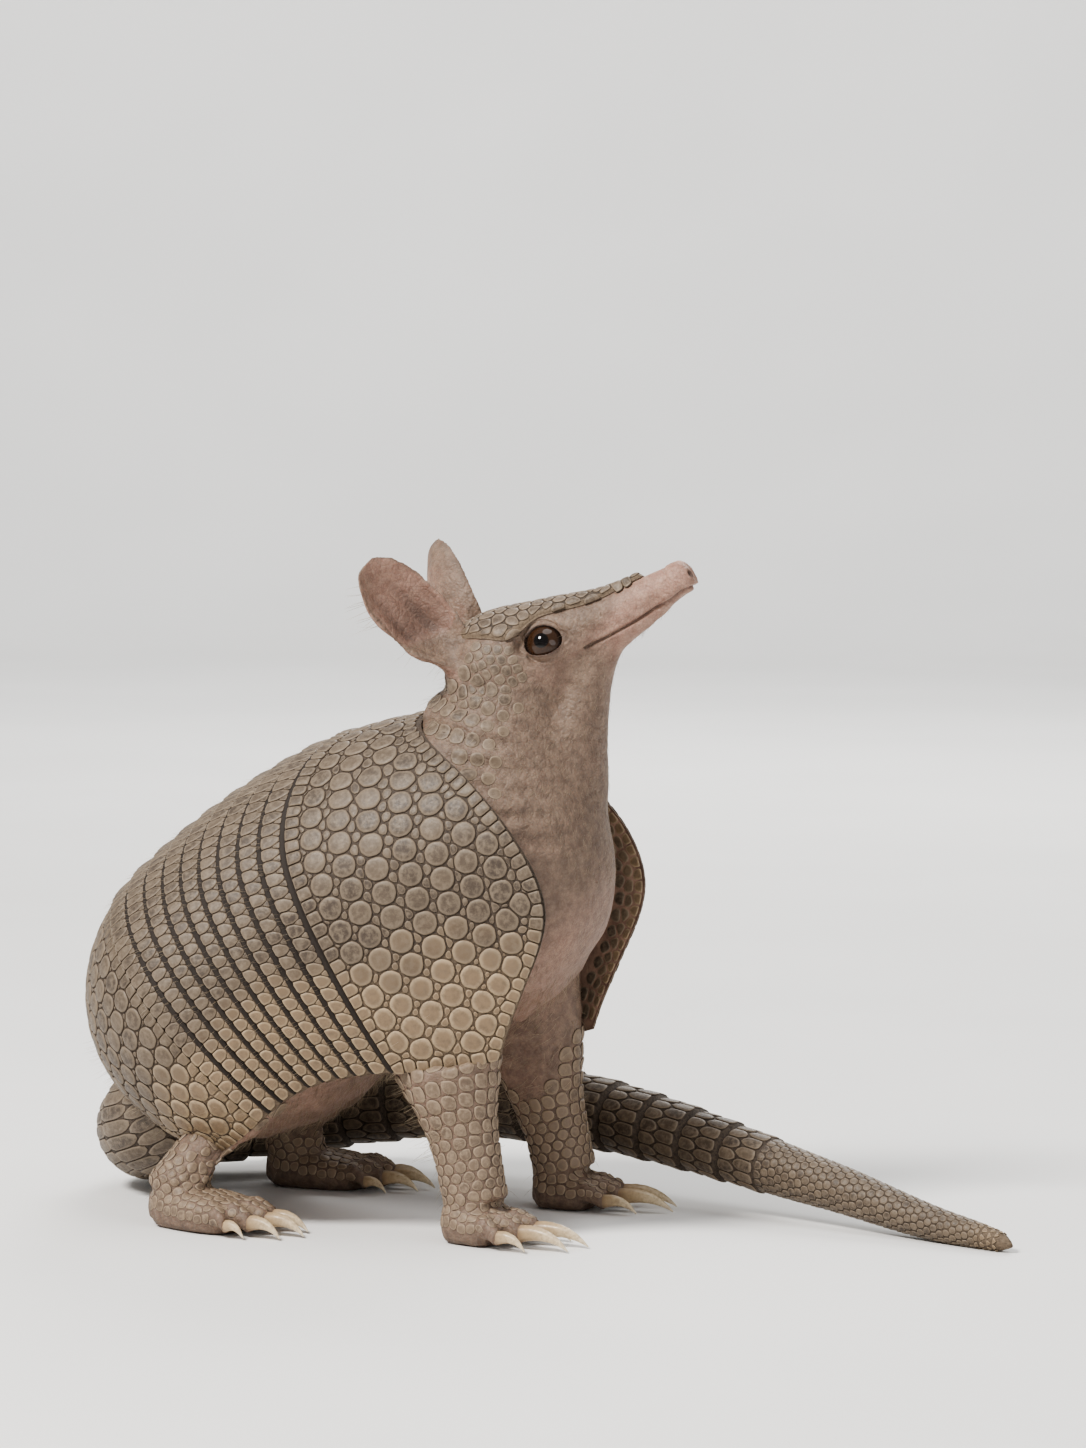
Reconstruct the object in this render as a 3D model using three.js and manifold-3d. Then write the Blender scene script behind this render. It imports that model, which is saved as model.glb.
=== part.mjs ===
// Nine-banded armadillo, adult, life size, standing square with its head raised.
// Millimetres. +X is forward, +Y the animal's left, +Z up. The floor is z = 0.
import * as THREE from "three";
import { mergeVertices } from "three/addons/utils/BufferGeometryUtils.js";
import Module from "manifold-3d";

const wasm = await Module();
wasm.setup();

const { abs, atan2, cos, hypot, max, min, sign, sin, sqrt, PI } = Math;
const { degToRad, lerp, smoothstep } = THREE.MathUtils;
const vec = (x, y, z) => new THREE.Vector3(x, y, z);

// ---------------------------------------------------------------- driving sizes

const GAP = 0.35; // between pieces that meet

// The body's axis is an arc that climbs from the rump to the shoulders and levels out.
const AXIS = { length: 196, rearPitch: degToRad(50), frontPitch: degToRad(12), rear: vec(-79, 0, 62) };
const AXIS_RADIUS = AXIS.length / (AXIS.rearPitch - AXIS.frontPitch);

const BODY = {
  hip: 42, // axis position where the rump starts to round off
  rump: 72, // how far behind the hip the rump reaches
  shoulder: 160, // axis position where the chest starts to round off
  chest: 62, // how far ahead of the shoulder the chest reaches
  halfWidth: 76,
  height: 78, // axis to crest
  skirt: 52, // axis to the carapace's lower edge at the hip
  tuck: 13, // how far that edge turns in
  belly: 58, // axis to the belly
};
const SHELL = { thick: 3, clearance: 1.2, rise: 1.4, across: 18 };
const BANDS = { count: 9, rear: 30, pitch: 11, bow: 16 };
const SCAPULAR = { rear: BANDS.rear + BANDS.count * BANDS.pitch, crest: 164, side: 215 };
const PELVIC = { front: BANDS.rear, rear: -40 };

const HEAD = { length: 114, pitch: degToRad(27), yaw: degToRad(6), at: vec(46, 1, 230) };
const EYE = { radius: 9, at: vec(45, 10.9, 1) };
const EAR = { length: 56, halfWidth: 17, thick: 2.2, at: vec(4, 12, 15), lean: { left: degToRad(-9), right: degToRad(3) }, splay: degToRad(30) };

const TAIL = { length: 530, baseRadius: 24.5, tipRadius: 3.2, rings: 16, ringed: 0.74, pieces: 5 };

// ---------------------------------------------------------------- solids

// A closed three.js geometry as a solid, its faces turned outwards.
function solidOf(geometry) {
  const bare = geometry.clone();
  bare.deleteAttribute("normal");
  bare.deleteAttribute("uv");
  const merged = mergeVertices(bare, 1e-3);
  const triVerts = new Uint32Array(merged.index.array);
  const make = () => new wasm.Manifold(new wasm.Mesh({
    numProp: 3,
    vertProperties: merged.attributes.position.array,
    triVerts,
  }));
  const made = make();
  if (made.volume() > 0) return made;
  for (let i = 0; i < triVerts.length; i += 3) {
    [triVerts[i + 1], triVerts[i + 2]] = [triVerts[i + 2], triVerts[i + 1]];
  }
  return make();
}

// Moves each vertex of a closed primitive to where place(x, y, z) puts it.
function shaped(primitive, place) {
  const position = primitive.getAttribute("position");
  for (let i = 0; i < position.count; i++) {
    const p = place(position.getX(i), position.getY(i), position.getZ(i));
    position.setXYZ(i, p.x, p.y, p.z);
  }
  return solidOf(primitive);
}

// A closed tube: place(t, angle, r) puts a point t of the way along, angle round it, r = 0 on its axis.
function tube(around, along, place) {
  return shaped(new THREE.CylinderGeometry(1, 1, 1, around, along), (x, y, z) =>
    place(y + 0.5, atan2(x, z), hypot(x, z) > 0.5 ? 1 : 0));
}

// A closed slab: place(p, q, outer) puts a point p along and q across it, on its outer or inner face.
function slab(along, across, place) {
  return shaped(new THREE.BoxGeometry(1, 1, 1, along, across, 1), (x, y, z) =>
    place(x + 0.5, y + 0.5, z > 0));
}

// A smooth curve through [position, value] pairs that never overshoots them.
function profile(pairs) {
  const xs = pairs.map((p) => p[0]);
  const ys = pairs.map((p) => p[1]);
  const slopes = xs.slice(1).map((x, i) => (ys[i + 1] - ys[i]) / (x - xs[i]));
  const tangents = ys.map((_, i) => {
    if (i === 0) return slopes[0];
    if (i === ys.length - 1) return slopes[i - 1];
    const [a, b] = [slopes[i - 1], slopes[i]];
    return a * b <= 0 ? 0 : (2 * a * b) / (a + b);
  });
  return (x) => {
    const at = min(max(x, xs[0]), xs[xs.length - 1]);
    const i = max(0, min(xs.findIndex((v) => v >= at) - 1, xs.length - 2));
    const h = xs[i + 1] - xs[i];
    const t = (at - xs[i]) / h;
    return (
      ys[i] * (1 + 2 * t) * (1 - t) ** 2 + tangents[i] * h * t * (1 - t) ** 2 +
      ys[i + 1] * t * t * (3 - 2 * t) + tangents[i + 1] * h * t * t * (t - 1)
    );
  };
}

// The main body of a solid that a cut may have left crumbs beside.
const mainBody = (solid) => solid.decompose().reduce((a, b) => (a.volume() > b.volume() ? a : b));

const powered = (value, power) => sign(value) * abs(value) ** power;

// ---------------------------------------------------------------- body and carapace

function axisAt(s) {
  const pitch = AXIS.rearPitch - s / AXIS_RADIUS;
  const origin = AXIS.rear.clone().add(vec(
    AXIS_RADIUS * (sin(AXIS.rearPitch) - sin(pitch)),
    0,
    AXIS_RADIUS * (cos(pitch) - cos(AXIS.rearPitch)),
  ));
  return { origin, forward: vec(cos(pitch), 0, sin(pitch)), up: vec(-sin(pitch), 0, cos(pitch)) };
}

// The body's section at l, a distance along the back, for a body thinner by less all round.
// Behind the hip, and ahead of the shoulder on the flesh, l runs round the closing end.
function bodyAt(l, less = 0, chest = false) {
  const rump = BODY.rump - less;
  const back = max(0, (BODY.hip - l) / rump);
  const front = chest ? max(0, (l - BODY.shoulder) / BODY.chest) : 0;
  const s = back > 0 ? BODY.hip - rump * sin(back) : front > 0 ? BODY.shoulder + BODY.chest * sin(front) : l;
  const shrink = cos(back) * cos(front);
  const taper = smoothstep(s, 112, 224);
  return {
    ...axisAt(s),
    width: (BODY.halfWidth - 16 * taper - less) * shrink,
    height: (BODY.height - 12 * taper - less) * shrink,
    skirt: (BODY.skirt + 28 * smoothstep(s, 40, 165)) * sqrt(max(shrink, 0)),
    tuck: BODY.tuck * shrink,
    belly: (BODY.belly + 4 * smoothstep(s, 90, 165)) * shrink,
  };
}

// How far back the sides of the hoops are swept, most where the bands meet the scapular shield.
const bow = (l, v) =>
  BANDS.bow * smoothstep(abs(v), 0, 0.5) * smoothstep(l, 20, SCAPULAR.rear) * (1 - smoothstep(l, SCAPULAR.rear, SCAPULAR.rear + 62));

// The carapace's outer face: v runs across it, from -1 at the right edge to 1 at the left.
function carapace(l, v) {
  const b = bodyAt(l - bow(l, v));
  const quarter = (PI / 2) * sqrt((b.width ** 2 + b.height ** 2) / 2);
  const reach = abs(v) * (quarter + b.skirt);
  const angle = min(reach / quarter, 1) * (PI / 2);
  const drop = max(0, reach - quarter) / b.skirt;
  const y = b.width * sin(angle) - b.tuck * drop ** 2;
  const z = b.height * cos(angle) - b.skirt * drop;
  return b.origin.clone().addScaledVector(b.up, z).add(vec(0, sign(v) * y, 0));
}

// The same face moved outwards along its normal.
function carapaceOffset(l, v, offset) {
  const step = 0.5;
  const along = carapace(l + step, v).sub(carapace(l - step, v));
  const across = carapace(l, v + 0.01).sub(carapace(l, v - 0.01));
  return carapace(l, v).addScaledVector(along.cross(across).normalize(), offset);
}

// One plate between two margins, rear(v) and front(v), its rear edge raised over what lies behind it.
function plate(rows, across, rear, front, lift) {
  return slab(rows, across, (p, q, outer) => {
    const v = 2 * q - 1;
    const offset = outer ? lerp(SHELL.rise, -0.4, p) * lift(p) : -SHELL.thick;
    return carapaceOffset(lerp(rear(v), front(v), p), v, offset);
  });
}

// The room that the whole carapace takes, out to well beyond it, which nothing soft may enter.
function shellRoom() {
  return slab(12, SHELL.across, (p, q, outer) => {
    const v = (2 * q - 1) * 1.006;
    return carapaceOffset(lerp(pelvicRear(v) - GAP, scapularFront(v) + GAP, p), v, outer ? 30 : -SHELL.thick - GAP);
  });
}

const scapularFront = (v) =>
  lerp(SCAPULAR.crest, SCAPULAR.side, smoothstep(abs(v), 0.05, 0.66)) - 46 * smoothstep(abs(v), 0.66, 1.1);
const pelvicRear = (v) => PELVIC.rear + 34 * smoothstep(abs(v), 0.72, 1.12);

function scapularShield() {
  return plate(5, SHELL.across, () => SCAPULAR.rear + GAP / 2, scapularFront, (p) => max(0, 1 - 6 * p));
}

function pelvicShield() {
  return plate(6, SHELL.across, pelvicRear, () => PELVIC.front - GAP / 2, (p) => max(0, 6 * p - 5));
}

function band(index) {
  const rear = BANDS.rear + index * BANDS.pitch;
  return plate(1, SHELL.across, () => rear + GAP / 2, () => rear + BANDS.pitch - GAP / 2, () => 1);
}

// The soft trunk inside the carapace, with the belly below its lower edge.
function trunk(grow = 0) {
  const less = SHELL.thick + SHELL.clearance - grow;
  const rearEnd = BODY.hip - (BODY.rump - less) * (PI / 2);
  const frontEnd = BODY.shoulder + BODY.chest * (PI / 2);
  return tube(16, 13, (t, angle, r) => {
    const b = bodyAt(lerp(rearEnd, frontEnd, t), less, true);
    const below = cos(angle) < 0;
    const y = -r * b.width * (below ? powered(sin(angle), 0.78) : sin(angle));
    const z = r * (below ? (b.belly + grow) * powered(cos(angle), 0.78) : b.height * cos(angle));
    return b.origin.clone().addScaledVector(b.up, z).add(vec(0, y, 0));
  });
}

// ---------------------------------------------------------------- head

const headPose = new THREE.Matrix4()
  .makeTranslation(HEAD.at)
  .multiply(new THREE.Matrix4().makeRotationZ(HEAD.yaw))
  .multiply(new THREE.Matrix4().makeRotationY(-HEAD.pitch));
const inHead = (x, y, z) => vec(x, y, z).applyMatrix4(headPose);

// The head's half width, and its height above and below its axis, from the occiput forward.
const headWidth = profile([[0, 20], [18, 24.5], [50, 17], [80, 9.4], [104, 7.6]]);
const headTop = profile([[0, 19], [20, 24], [50, 17.5], [80, 10], [104, 8.6]]);
const headBottom = profile([[0, 22], [22, 26], [45, 19], [64, 9], [96, 6], [104, 6.4]]);
const jawWidth = profile([[26, 17], [64, 9.6], [99, 4.2]]);
const jawBottom = profile([[26, 28], [64, 17], [99, 9.8]]);

const NOSE = { start: HEAD.length - 6, round: 6 };

// A point of the head's surface, offset from it: angle 0 is the crown, and positive angles the right.
function headSurface(x, angle, offset) {
  const closing = (1 - max(0, (x - NOSE.start) / NOSE.round) ** 3) ** (1 / 3);
  const w = headWidth(x) * closing + offset;
  const h = (cos(angle) > 0 ? headTop(x) : headBottom(x)) * closing + offset;
  return inHead(x, -w * sin(angle), h * cos(angle));
}

function skull(grow = 0) {
  const stations = [0, 8, 18, 30, 42, 52, 62, 74, 88, 99, NOSE.start, HEAD.length - 2, HEAD.length - 0.3];
  return tube(14, stations.length - 1, (t, angle, r) => {
    const x = stations[Math.round(t * (stations.length - 1))];
    return r ? headSurface(x, angle, grow) : inHead(x, 0, 0);
  });
}

function jaw() {
  return tube(10, 5, (t, angle, r) => {
    const x = lerp(26, 99, t);
    const round = t === 1 ? 0.6 : 1;
    return inHead(x, -r * round * jawWidth(x) * sin(angle), -4 + r * (cos(angle) > 0 ? 3 : jawBottom(x) - 4) * cos(angle) * round);
  });
}

// The loose skin that rounds off the corner from the jaw's underside to the neck's front.
function throat() {
  const path = new THREE.QuadraticBezierCurve3(inHead(76, 0, -13.5), inHead(50, 0, -28), inHead(32, 0, -80));
  return tube(8, 6, (t, angle, r) => {
    const forward = path.getTangent(t);
    const side = vec(0, 1, 0).addScaledVector(forward, -forward.y).normalize();
    const up = forward.clone().cross(side);
    const deep = lerp(5, 15, t);
    const closing = r * (1 - max(0, Math.abs(2 * t - 1) - 0.6) ** 2 * 2.4);
    return path.getPoint(t)
      .addScaledVector(up, -deep)
      .addScaledVector(side, closing * lerp(6, 24, t) * sin(angle))
      .addScaledVector(up, closing * deep * cos(angle));
  });
}

const browAngle = profile([[8, 26], [24, 52], [34, 64], [50, 44], [66, 44], [94, 14]]);

function headShield(grow = 0) {
  return slab(9, 6, (p, q, outer) => {
    const x = lerp(8 - grow, 94 + grow, p);
    const angle = (1 - 2 * q) * (degToRad(browAngle(x)) + grow / 20);
    return headSurface(x, angle, outer ? 3 + grow : 1.2 - grow);
  });
}

function neck(grow = 0) {
  const base = axisAt(152).origin.add(vec(0, 0, -8));
  const path = new THREE.CubicBezierCurve3(base, base.clone().add(vec(30, 0, 16)), inHead(-8, 0, -20), inHead(31, 0, -8));
  const width = profile([[0, 58], [0.55, 42], [1, 21]]);
  const height = profile([[0, 60], [0.55, 45], [1, 22]]);
  return tube(12, 5, (t, angle, r) => {
    const forward = path.getTangent(t);
    const side = vec(0, 0, 1).cross(forward).normalize();
    const up = forward.clone().cross(side);
    return path.getPoint(t)
      .addScaledVector(side, -r * (width(t) + grow) * sin(angle))
      .addScaledVector(up, r * (height(t) + grow) * cos(angle));
  });
}

// The ear is a cupped leaf: a funnel at its root, opening out to a rounded tip.
const earWidth = profile([[0, 0.5], [0.42, 1], [0.7, 0.9], [0.88, 0.64], [1, 0.24]]);
const earCurl = profile([[0, 120], [0.4, 68], [0.7, 52], [0.88, 38], [1, 16]]);

function ear(side) {
  return slab(6, 5, (p, q, outer) => {
    const curl = degToRad(earCurl(p)) * (1 - 2 * q);
    const radius = (1.15 * EAR.halfWidth * earWidth(p)) / degToRad(earCurl(p)) + (outer ? EAR.thick / 2 : -EAR.thick / 2);
    const open = vec(-radius * cos(curl), -radius * sin(curl), 0); // the cup faces +X here, and rises along +Z
    const leaf = vec(open.x + EAR.halfWidth * 0.5, open.y, -7 + p * (EAR.length + 7));
    leaf.applyAxisAngle(vec(0, 0, 1), 0.75 * side);
    leaf.applyAxisAngle(vec(1, 0, 0), -side * EAR.splay);
    leaf.applyAxisAngle(vec(0, 1, 0), side > 0 ? -EAR.lean.left : -EAR.lean.right);
    return inHead(EAR.at.x + leaf.x, side * EAR.at.y + leaf.y, EAR.at.z + leaf.z);
  });
}

function eyeball(side, grow = 0) {
  const at = inHead(EYE.at.x, side * EYE.at.y, EYE.at.z);
  return solidOf(new THREE.SphereGeometry(EYE.radius + grow, 8, 6).translate(at.x, at.y, at.z));
}

// ---------------------------------------------------------------- legs

// A limb through stations [x, y, z, half width, half depth], y outwards from the midline.
function limb(stations, side) {
  const path = new THREE.CatmullRomCurve3(stations.map(([x, y, z]) => vec(x, side * y, z)));
  const last = stations.length - 1;
  const across = profile(stations.map((s, i) => [i / last, s[3]]));
  const deep = profile(stations.map((s, i) => [i / last, s[4]]));
  return tube(9, 2 * last, (t, angle, r) => {
    const forward = path.getTangent(t);
    const out = vec(0, 1, 0).addScaledVector(forward, -forward.y).normalize();
    const fore = out.clone().cross(forward);
    return path.getPoint(t)
      .addScaledVector(out, r * across(t) * sin(angle))
      .addScaledVector(fore, r * deep(t) * cos(angle));
  });
}

const FRONT = {
  stations: [[50, 34, 132, 26, 34], [52, 42, 104, 23, 30], [59, 47, 72, 18, 23], [67, 49, 42, 13, 15], [73, 50, 16, 12.6, 13.5]],
  cuts: [78, 30],
  foot: { at: vec(68, 50, 0), splay: degToRad(7), rear: -9, front: 20, rearWidth: 12, frontWidth: 16, rearHeight: 20, frontHeight: 15 },
  toes: [
    { y: -12.5, reach: 7, radius: 4.4, claw: 14 },
    { y: -4.6, reach: 12, radius: 5.4, claw: 23 },
    { y: 4.8, reach: 11, radius: 5.4, claw: 22 },
    { y: 13, reach: 5, radius: 4.4, claw: 13 },
  ],
};
const HIND = {
  stations: [[-44, 36, 110, 26, 36], [-36, 45, 80, 22.5, 31], [-44, 53, 54, 17, 21], [-58, 58, 33, 12, 13.5], [-64, 60, 14, 11.5, 12.5]],
  cuts: [58, 27],
  foot: { at: vec(-66, 60, 0), splay: degToRad(9), rear: -9, front: 40, rearWidth: 10, frontWidth: 17, rearHeight: 20, frontHeight: 14 },
  toes: [
    { y: -14.6, reach: 1, radius: 4, claw: 9 },
    { y: -7.8, reach: 8, radius: 5, claw: 15 },
    { y: 0, reach: 11, radius: 5.2, claw: 17 },
    { y: 7.8, reach: 8, radius: 5, claw: 15 },
    { y: 14.6, reach: 0, radius: 4, claw: 9 },
  ],
};

// Puts a point of the foot, x forward of the ankle and y outwards, where that foot stands.
function onFoot(foot, side, x, y, z) {
  const p = vec(x, y, z).applyAxisAngle(vec(0, 0, 1), foot.splay);
  return vec(p.x + foot.at.x, side * (p.y + foot.at.y), p.z);
}

// The foot's body, flat underneath.
function pad(foot, side) {
  return tube(8, 2, (t, angle, r) => {
    const end = t === 0 ? 0.84 : t === 1 ? 0.9 : 1;
    const high = lerp(foot.rearHeight, foot.frontHeight, t) / 1.74;
    const wide = lerp(foot.rearWidth, foot.frontWidth, smoothstep(t, 0, 0.7));
    return onFoot(foot, side, lerp(foot.rear, foot.front, t), r * end * wide * powered(sin(angle), 0.8),
      max(0, high * (0.74 + r * end * powered(cos(angle), 0.8))));
  });
}

// The toes spread as they leave the foot.
const fan = (foot, toe, x) => toe.y * (1 + 0.012 * (x - foot.front + 10));

function toeSolid(foot, toe, side) {
  return tube(6, 2, (t, angle, r) => {
    const x = foot.front + lerp(-10, toe.reach, t);
    const thick = toe.radius * (t === 1 ? 0.8 : 1) * r;
    const z = lerp(8, toe.radius, t) + 2.6 * sin(PI * t);
    return onFoot(foot, side, x, fan(foot, toe, x) + 0.82 * thick * sin(angle), max(0, z + thick * cos(angle)));
  });
}

// A claw curves forward and down from the end of its toe until its tip just clears the floor.
function clawSolid(foot, toe, side) {
  const start = foot.front + toe.reach + GAP;
  const path = new THREE.QuadraticBezierCurve3(
    vec(start, 0, toe.radius + 0.2), vec(start + 0.6 * toe.claw, 0, toe.radius + 3.2), vec(start + toe.claw, 0, 1));
  return tube(6, 3, (t, angle, r) => {
    const p = path.getPoint(t);
    const thick = r * lerp(0.74, 0.09, t ** 1.4) * toe.radius;
    const y = fan(foot, toe, p.x) + 0.82 * thick * sin(angle);
    return onFoot(foot, side, p.x, y, p.z + thick * cos(angle));
  });
}

// ---------------------------------------------------------------- tail

// The tail leaves the rump, bends round to the left and lies forward along the floor.
const tailTurn = profile([[0, 160], [0.04, 146], [0.1, 102], [0.18, 54], [0.3, 10], [0.42, -6], [0.6, -18], [1, -24]]);
const tailRadius = (t) => lerp(TAIL.tipRadius, TAIL.baseRadius, (1 - t) ** 0.65);
const tailLift = profile([[0, 22], [0.05, 11], [0.11, 4], [0.22, 7], [0.42, 20], [0.5, 21], [0.8, 7], [0.94, 0], [1, 0]]);

// Points along the tail's middle, walked out step by step along its heading.
function tailPath() {
  const steps = 160;
  const start = axisAt(-10).origin;
  const points = [];
  let [x, y] = [start.x, start.y];
  for (let i = 0; i <= steps; i++) {
    const t = i / steps;
    points.push(vec(x, y, tailRadius(t) - 0.4 + tailLift(t)));
    const fall = (tailLift(t + 1 / steps) - tailLift(t)) / (TAIL.length / steps);
    const stride = (TAIL.length / steps) * sqrt(max(0.2, 1 - fall * fall));
    const heading = degToRad(tailTurn(t));
    x += stride * cos(heading);
    y += stride * sin(heading);
  }
  return points;
}

const TAIL_POINTS = tailPath();

function tailFrame(t) {
  const at = min(max(t, 0), 1) * (TAIL_POINTS.length - 1);
  const i = min(Math.floor(at), TAIL_POINTS.length - 2);
  const origin = TAIL_POINTS[i].clone().lerp(TAIL_POINTS[i + 1], at - i);
  const before = TAIL_POINTS[max(0, i - 2)];
  const after = TAIL_POINTS[min(TAIL_POINTS.length - 1, i + 3)];
  const forward = after.clone().sub(before).normalize();
  const side = vec(0, 0, 1).cross(forward).normalize();
  return { origin, side, up: forward.clone().cross(side) };
}

// Where each ring starts: they shorten towards the tip, and the last share of the tail has none.
const ringStart = (i) => TAIL.ringed * (i / TAIL.rings) ** 0.9;

// A length of tail from one place to another. Each ring flares a little at its rear edge.
function tailPiece(from, to) {
  const edges = [];
  for (let i = 0; i <= TAIL.rings; i++) {
    const at = ringStart(i);
    if (at > from + 0.004 && at < to - 0.004) edges.push([at - 0.0015, 1.05], [at + 0.0015, 0.97]);
  }
  for (let t = TAIL.ringed + 0.05; t < to; t += 0.07) if (t > from) edges.push([t, 1]);
  const stations = [[from, from > 0 ? 0.97 : 1], ...edges, [to, to < TAIL.ringed ? 1.05 : 1]];
  if (to === 1) stations.splice(-1, 0, [0.99, 1]);
  return tube(10, stations.length - 1, (t, angle, r) => {
    const [at, flare] = stations[Math.round(t * (stations.length - 1))];
    const f = tailFrame(at);
    const radius = r * tailRadius(at) * flare * (at === 1 ? 0.45 : 1);
    return f.origin.addScaledVector(f.side, -radius * sin(angle)).addScaledVector(f.up, radius * cos(angle));
  });
}

// ---------------------------------------------------------------- assembly

const paint = (color, roughness) => new THREE.MeshStandardMaterial({ color, roughness, metalness: 0 });
const LOOKS = {
  armour: paint(0x6b5e50, 0.55),
  skin: paint(0xa98a78, 0.7),
  claw: paint(0xcdb98f, 0.4),
  eye: paint(0x14100d, 0.1),
};

const model = new THREE.Group();

function add(name, solid, look) {
  const { vertProperties, triVerts } = solid.getMesh();
  const geometry = new THREE.BufferGeometry();
  geometry.setAttribute("position", new THREE.BufferAttribute(vertProperties, 3));
  geometry.setIndex(new THREE.BufferAttribute(triVerts, 1));
  geometry.computeVertexNormals();
  const mesh = new THREE.Mesh(geometry, LOOKS[look]);
  mesh.name = name;
  model.add(mesh);
}

// A block that fills everything between two heights, for parting and levelling.
function layer(low, high) {
  return solidOf(new THREE.BoxGeometry(800, 800, high - low).translate(0, 0, (low + high) / 2));
}

const floorCut = layer(-60, 0);
const trunkRoom = trunk(GAP);
const skullRoom = skull(GAP);
const shieldRoom = headShield(GAP);
const armourRoom = shellRoom();
const neckRoom = neck(GAP);

function addBody() {
  add("trunk", trunk().subtract(skullRoom), "skin");
  add("scapular_shield", scapularShield(), "armour");
  add("pelvic_shield", pelvicShield(), "armour");
  for (let i = 0; i < BANDS.count; i++) add(`band_${BANDS.count - i}`, band(i), "armour");
}

function addHead() {
  const sockets = eyeball(1, GAP).add(eyeball(-1, GAP));
  add("head", skull().subtract(sockets), "skin");
  add("jaw", mainBody(jaw().add(throat()).subtract(skullRoom).subtract(neckRoom).subtract(trunkRoom)), "skin");
  add("head_shield", headShield(), "armour");
  add("neck", mainBody(neck().subtract(trunkRoom).subtract(skullRoom).subtract(armourRoom).subtract(shieldRoom)), "skin");
  for (const [word, side] of [["left", 1], ["right", -1]]) {
    add(`ear_${word}`, mainBody(ear(side).subtract(skullRoom).subtract(shieldRoom).subtract(neckRoom)), "skin");
    add(`eye_${word}`, eyeball(side), "eye");
  }
}

// The leg is parted into upper leg, lower leg and foot, and stands on small flats.
function addLeg(end, word, { stations, cuts, foot, toes }, side) {
  const tag = `${end}_${word}`;
  const bone = limb(stations, side).subtract(trunkRoom).subtract(armourRoom).subtract(neckRoom);
  const [knee, ankle] = cuts;
  add(`upper_leg_${tag}`, bone.intersect(layer(knee + GAP / 2, 300)), "skin");
  add(`lower_leg_${tag}`, bone.intersect(layer(ankle + GAP / 2, knee - GAP / 2)), "skin");
  let sole = pad(foot, side).add(bone.intersect(layer(4, ankle - GAP / 2)));
  for (const toe of toes) sole = sole.add(toeSolid(foot, toe, side));
  sole = sole.intersect(layer(-60, ankle - GAP / 2));
  toes.forEach((toe, i) => add(`claw_${tag}_${i + 1}`, clawSolid(foot, toe, side), "claw"));
  add(`foot_${tag}`, mainBody(sole), "skin");
}

function addTail() {
  const ends = [0, ringStart(3), ringStart(7), ringStart(12), 0.78, 1];
  const half = GAP / 2 / TAIL.length;
  for (let i = 0; i < TAIL.pieces; i++) {
    const piece = tailPiece(ends[i] + (i ? half : 0), ends[i + 1] - (i < TAIL.pieces - 1 ? half : 0));
    add(`tail_${i + 1}`, piece.subtract(floorCut).subtract(trunkRoom).subtract(i ? floorCut : armourRoom), "armour");
  }
}

addBody();
addHead();
for (const [word, side] of [["left", 1], ["right", -1]]) {
  addLeg("front", word, FRONT, side);
  addLeg("hind", word, HIND, side);
}
addTail();

// The origin is the middle of the base of the whole animal's box.
const box = new THREE.Box3().setFromObject(model);
const middle = box.getCenter(vec(0, 0, 0));
model.position.set(-middle.x, -middle.y, 0);

export default model;
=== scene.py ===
"""Nine-banded armadillo, adult and life size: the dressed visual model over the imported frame.

Shapes are worked out in millimetres in the animal's own frame (+X forward, +Y its left, +Z up)
and moved into the row frame, in metres, when a mesh is made.
"""
import math

import bpy
import bmesh
import numpy as np
from mathutils import Matrix, Vector
from mathutils.bvhtree import BVHTree
from mathutils.kdtree import KDTree


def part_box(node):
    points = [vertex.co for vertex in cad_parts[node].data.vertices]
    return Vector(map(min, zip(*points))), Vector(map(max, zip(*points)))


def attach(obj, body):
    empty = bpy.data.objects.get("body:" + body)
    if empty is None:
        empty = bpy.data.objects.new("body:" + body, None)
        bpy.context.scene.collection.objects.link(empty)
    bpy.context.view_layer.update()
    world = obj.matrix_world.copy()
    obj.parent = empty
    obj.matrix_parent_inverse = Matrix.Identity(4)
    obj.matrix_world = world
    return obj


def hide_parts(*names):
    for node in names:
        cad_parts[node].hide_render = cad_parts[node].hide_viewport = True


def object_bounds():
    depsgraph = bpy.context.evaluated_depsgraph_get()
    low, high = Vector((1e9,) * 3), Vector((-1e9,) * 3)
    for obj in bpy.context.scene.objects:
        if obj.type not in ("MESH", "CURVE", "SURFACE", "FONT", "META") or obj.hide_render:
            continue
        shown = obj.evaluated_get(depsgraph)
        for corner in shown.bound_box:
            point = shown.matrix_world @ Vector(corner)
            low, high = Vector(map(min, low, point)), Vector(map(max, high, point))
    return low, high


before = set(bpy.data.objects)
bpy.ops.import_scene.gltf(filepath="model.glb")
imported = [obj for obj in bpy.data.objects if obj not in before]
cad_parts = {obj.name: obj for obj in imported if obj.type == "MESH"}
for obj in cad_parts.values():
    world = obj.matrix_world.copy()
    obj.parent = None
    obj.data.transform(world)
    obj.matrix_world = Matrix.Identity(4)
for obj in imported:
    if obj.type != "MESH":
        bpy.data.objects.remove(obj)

START_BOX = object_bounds()
rng = np.random.default_rng(9)
rad = math.radians

# ---------------------------------------------------------------- sizes shared with the solids

GAP = 0.35
AXIS_LENGTH, REAR_PITCH, FRONT_PITCH = 196.0, rad(50), rad(12)
AXIS_REAR = np.array([-79.0, 0.0, 62.0])
AXIS_RADIUS = AXIS_LENGTH / (REAR_PITCH - FRONT_PITCH)

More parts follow.
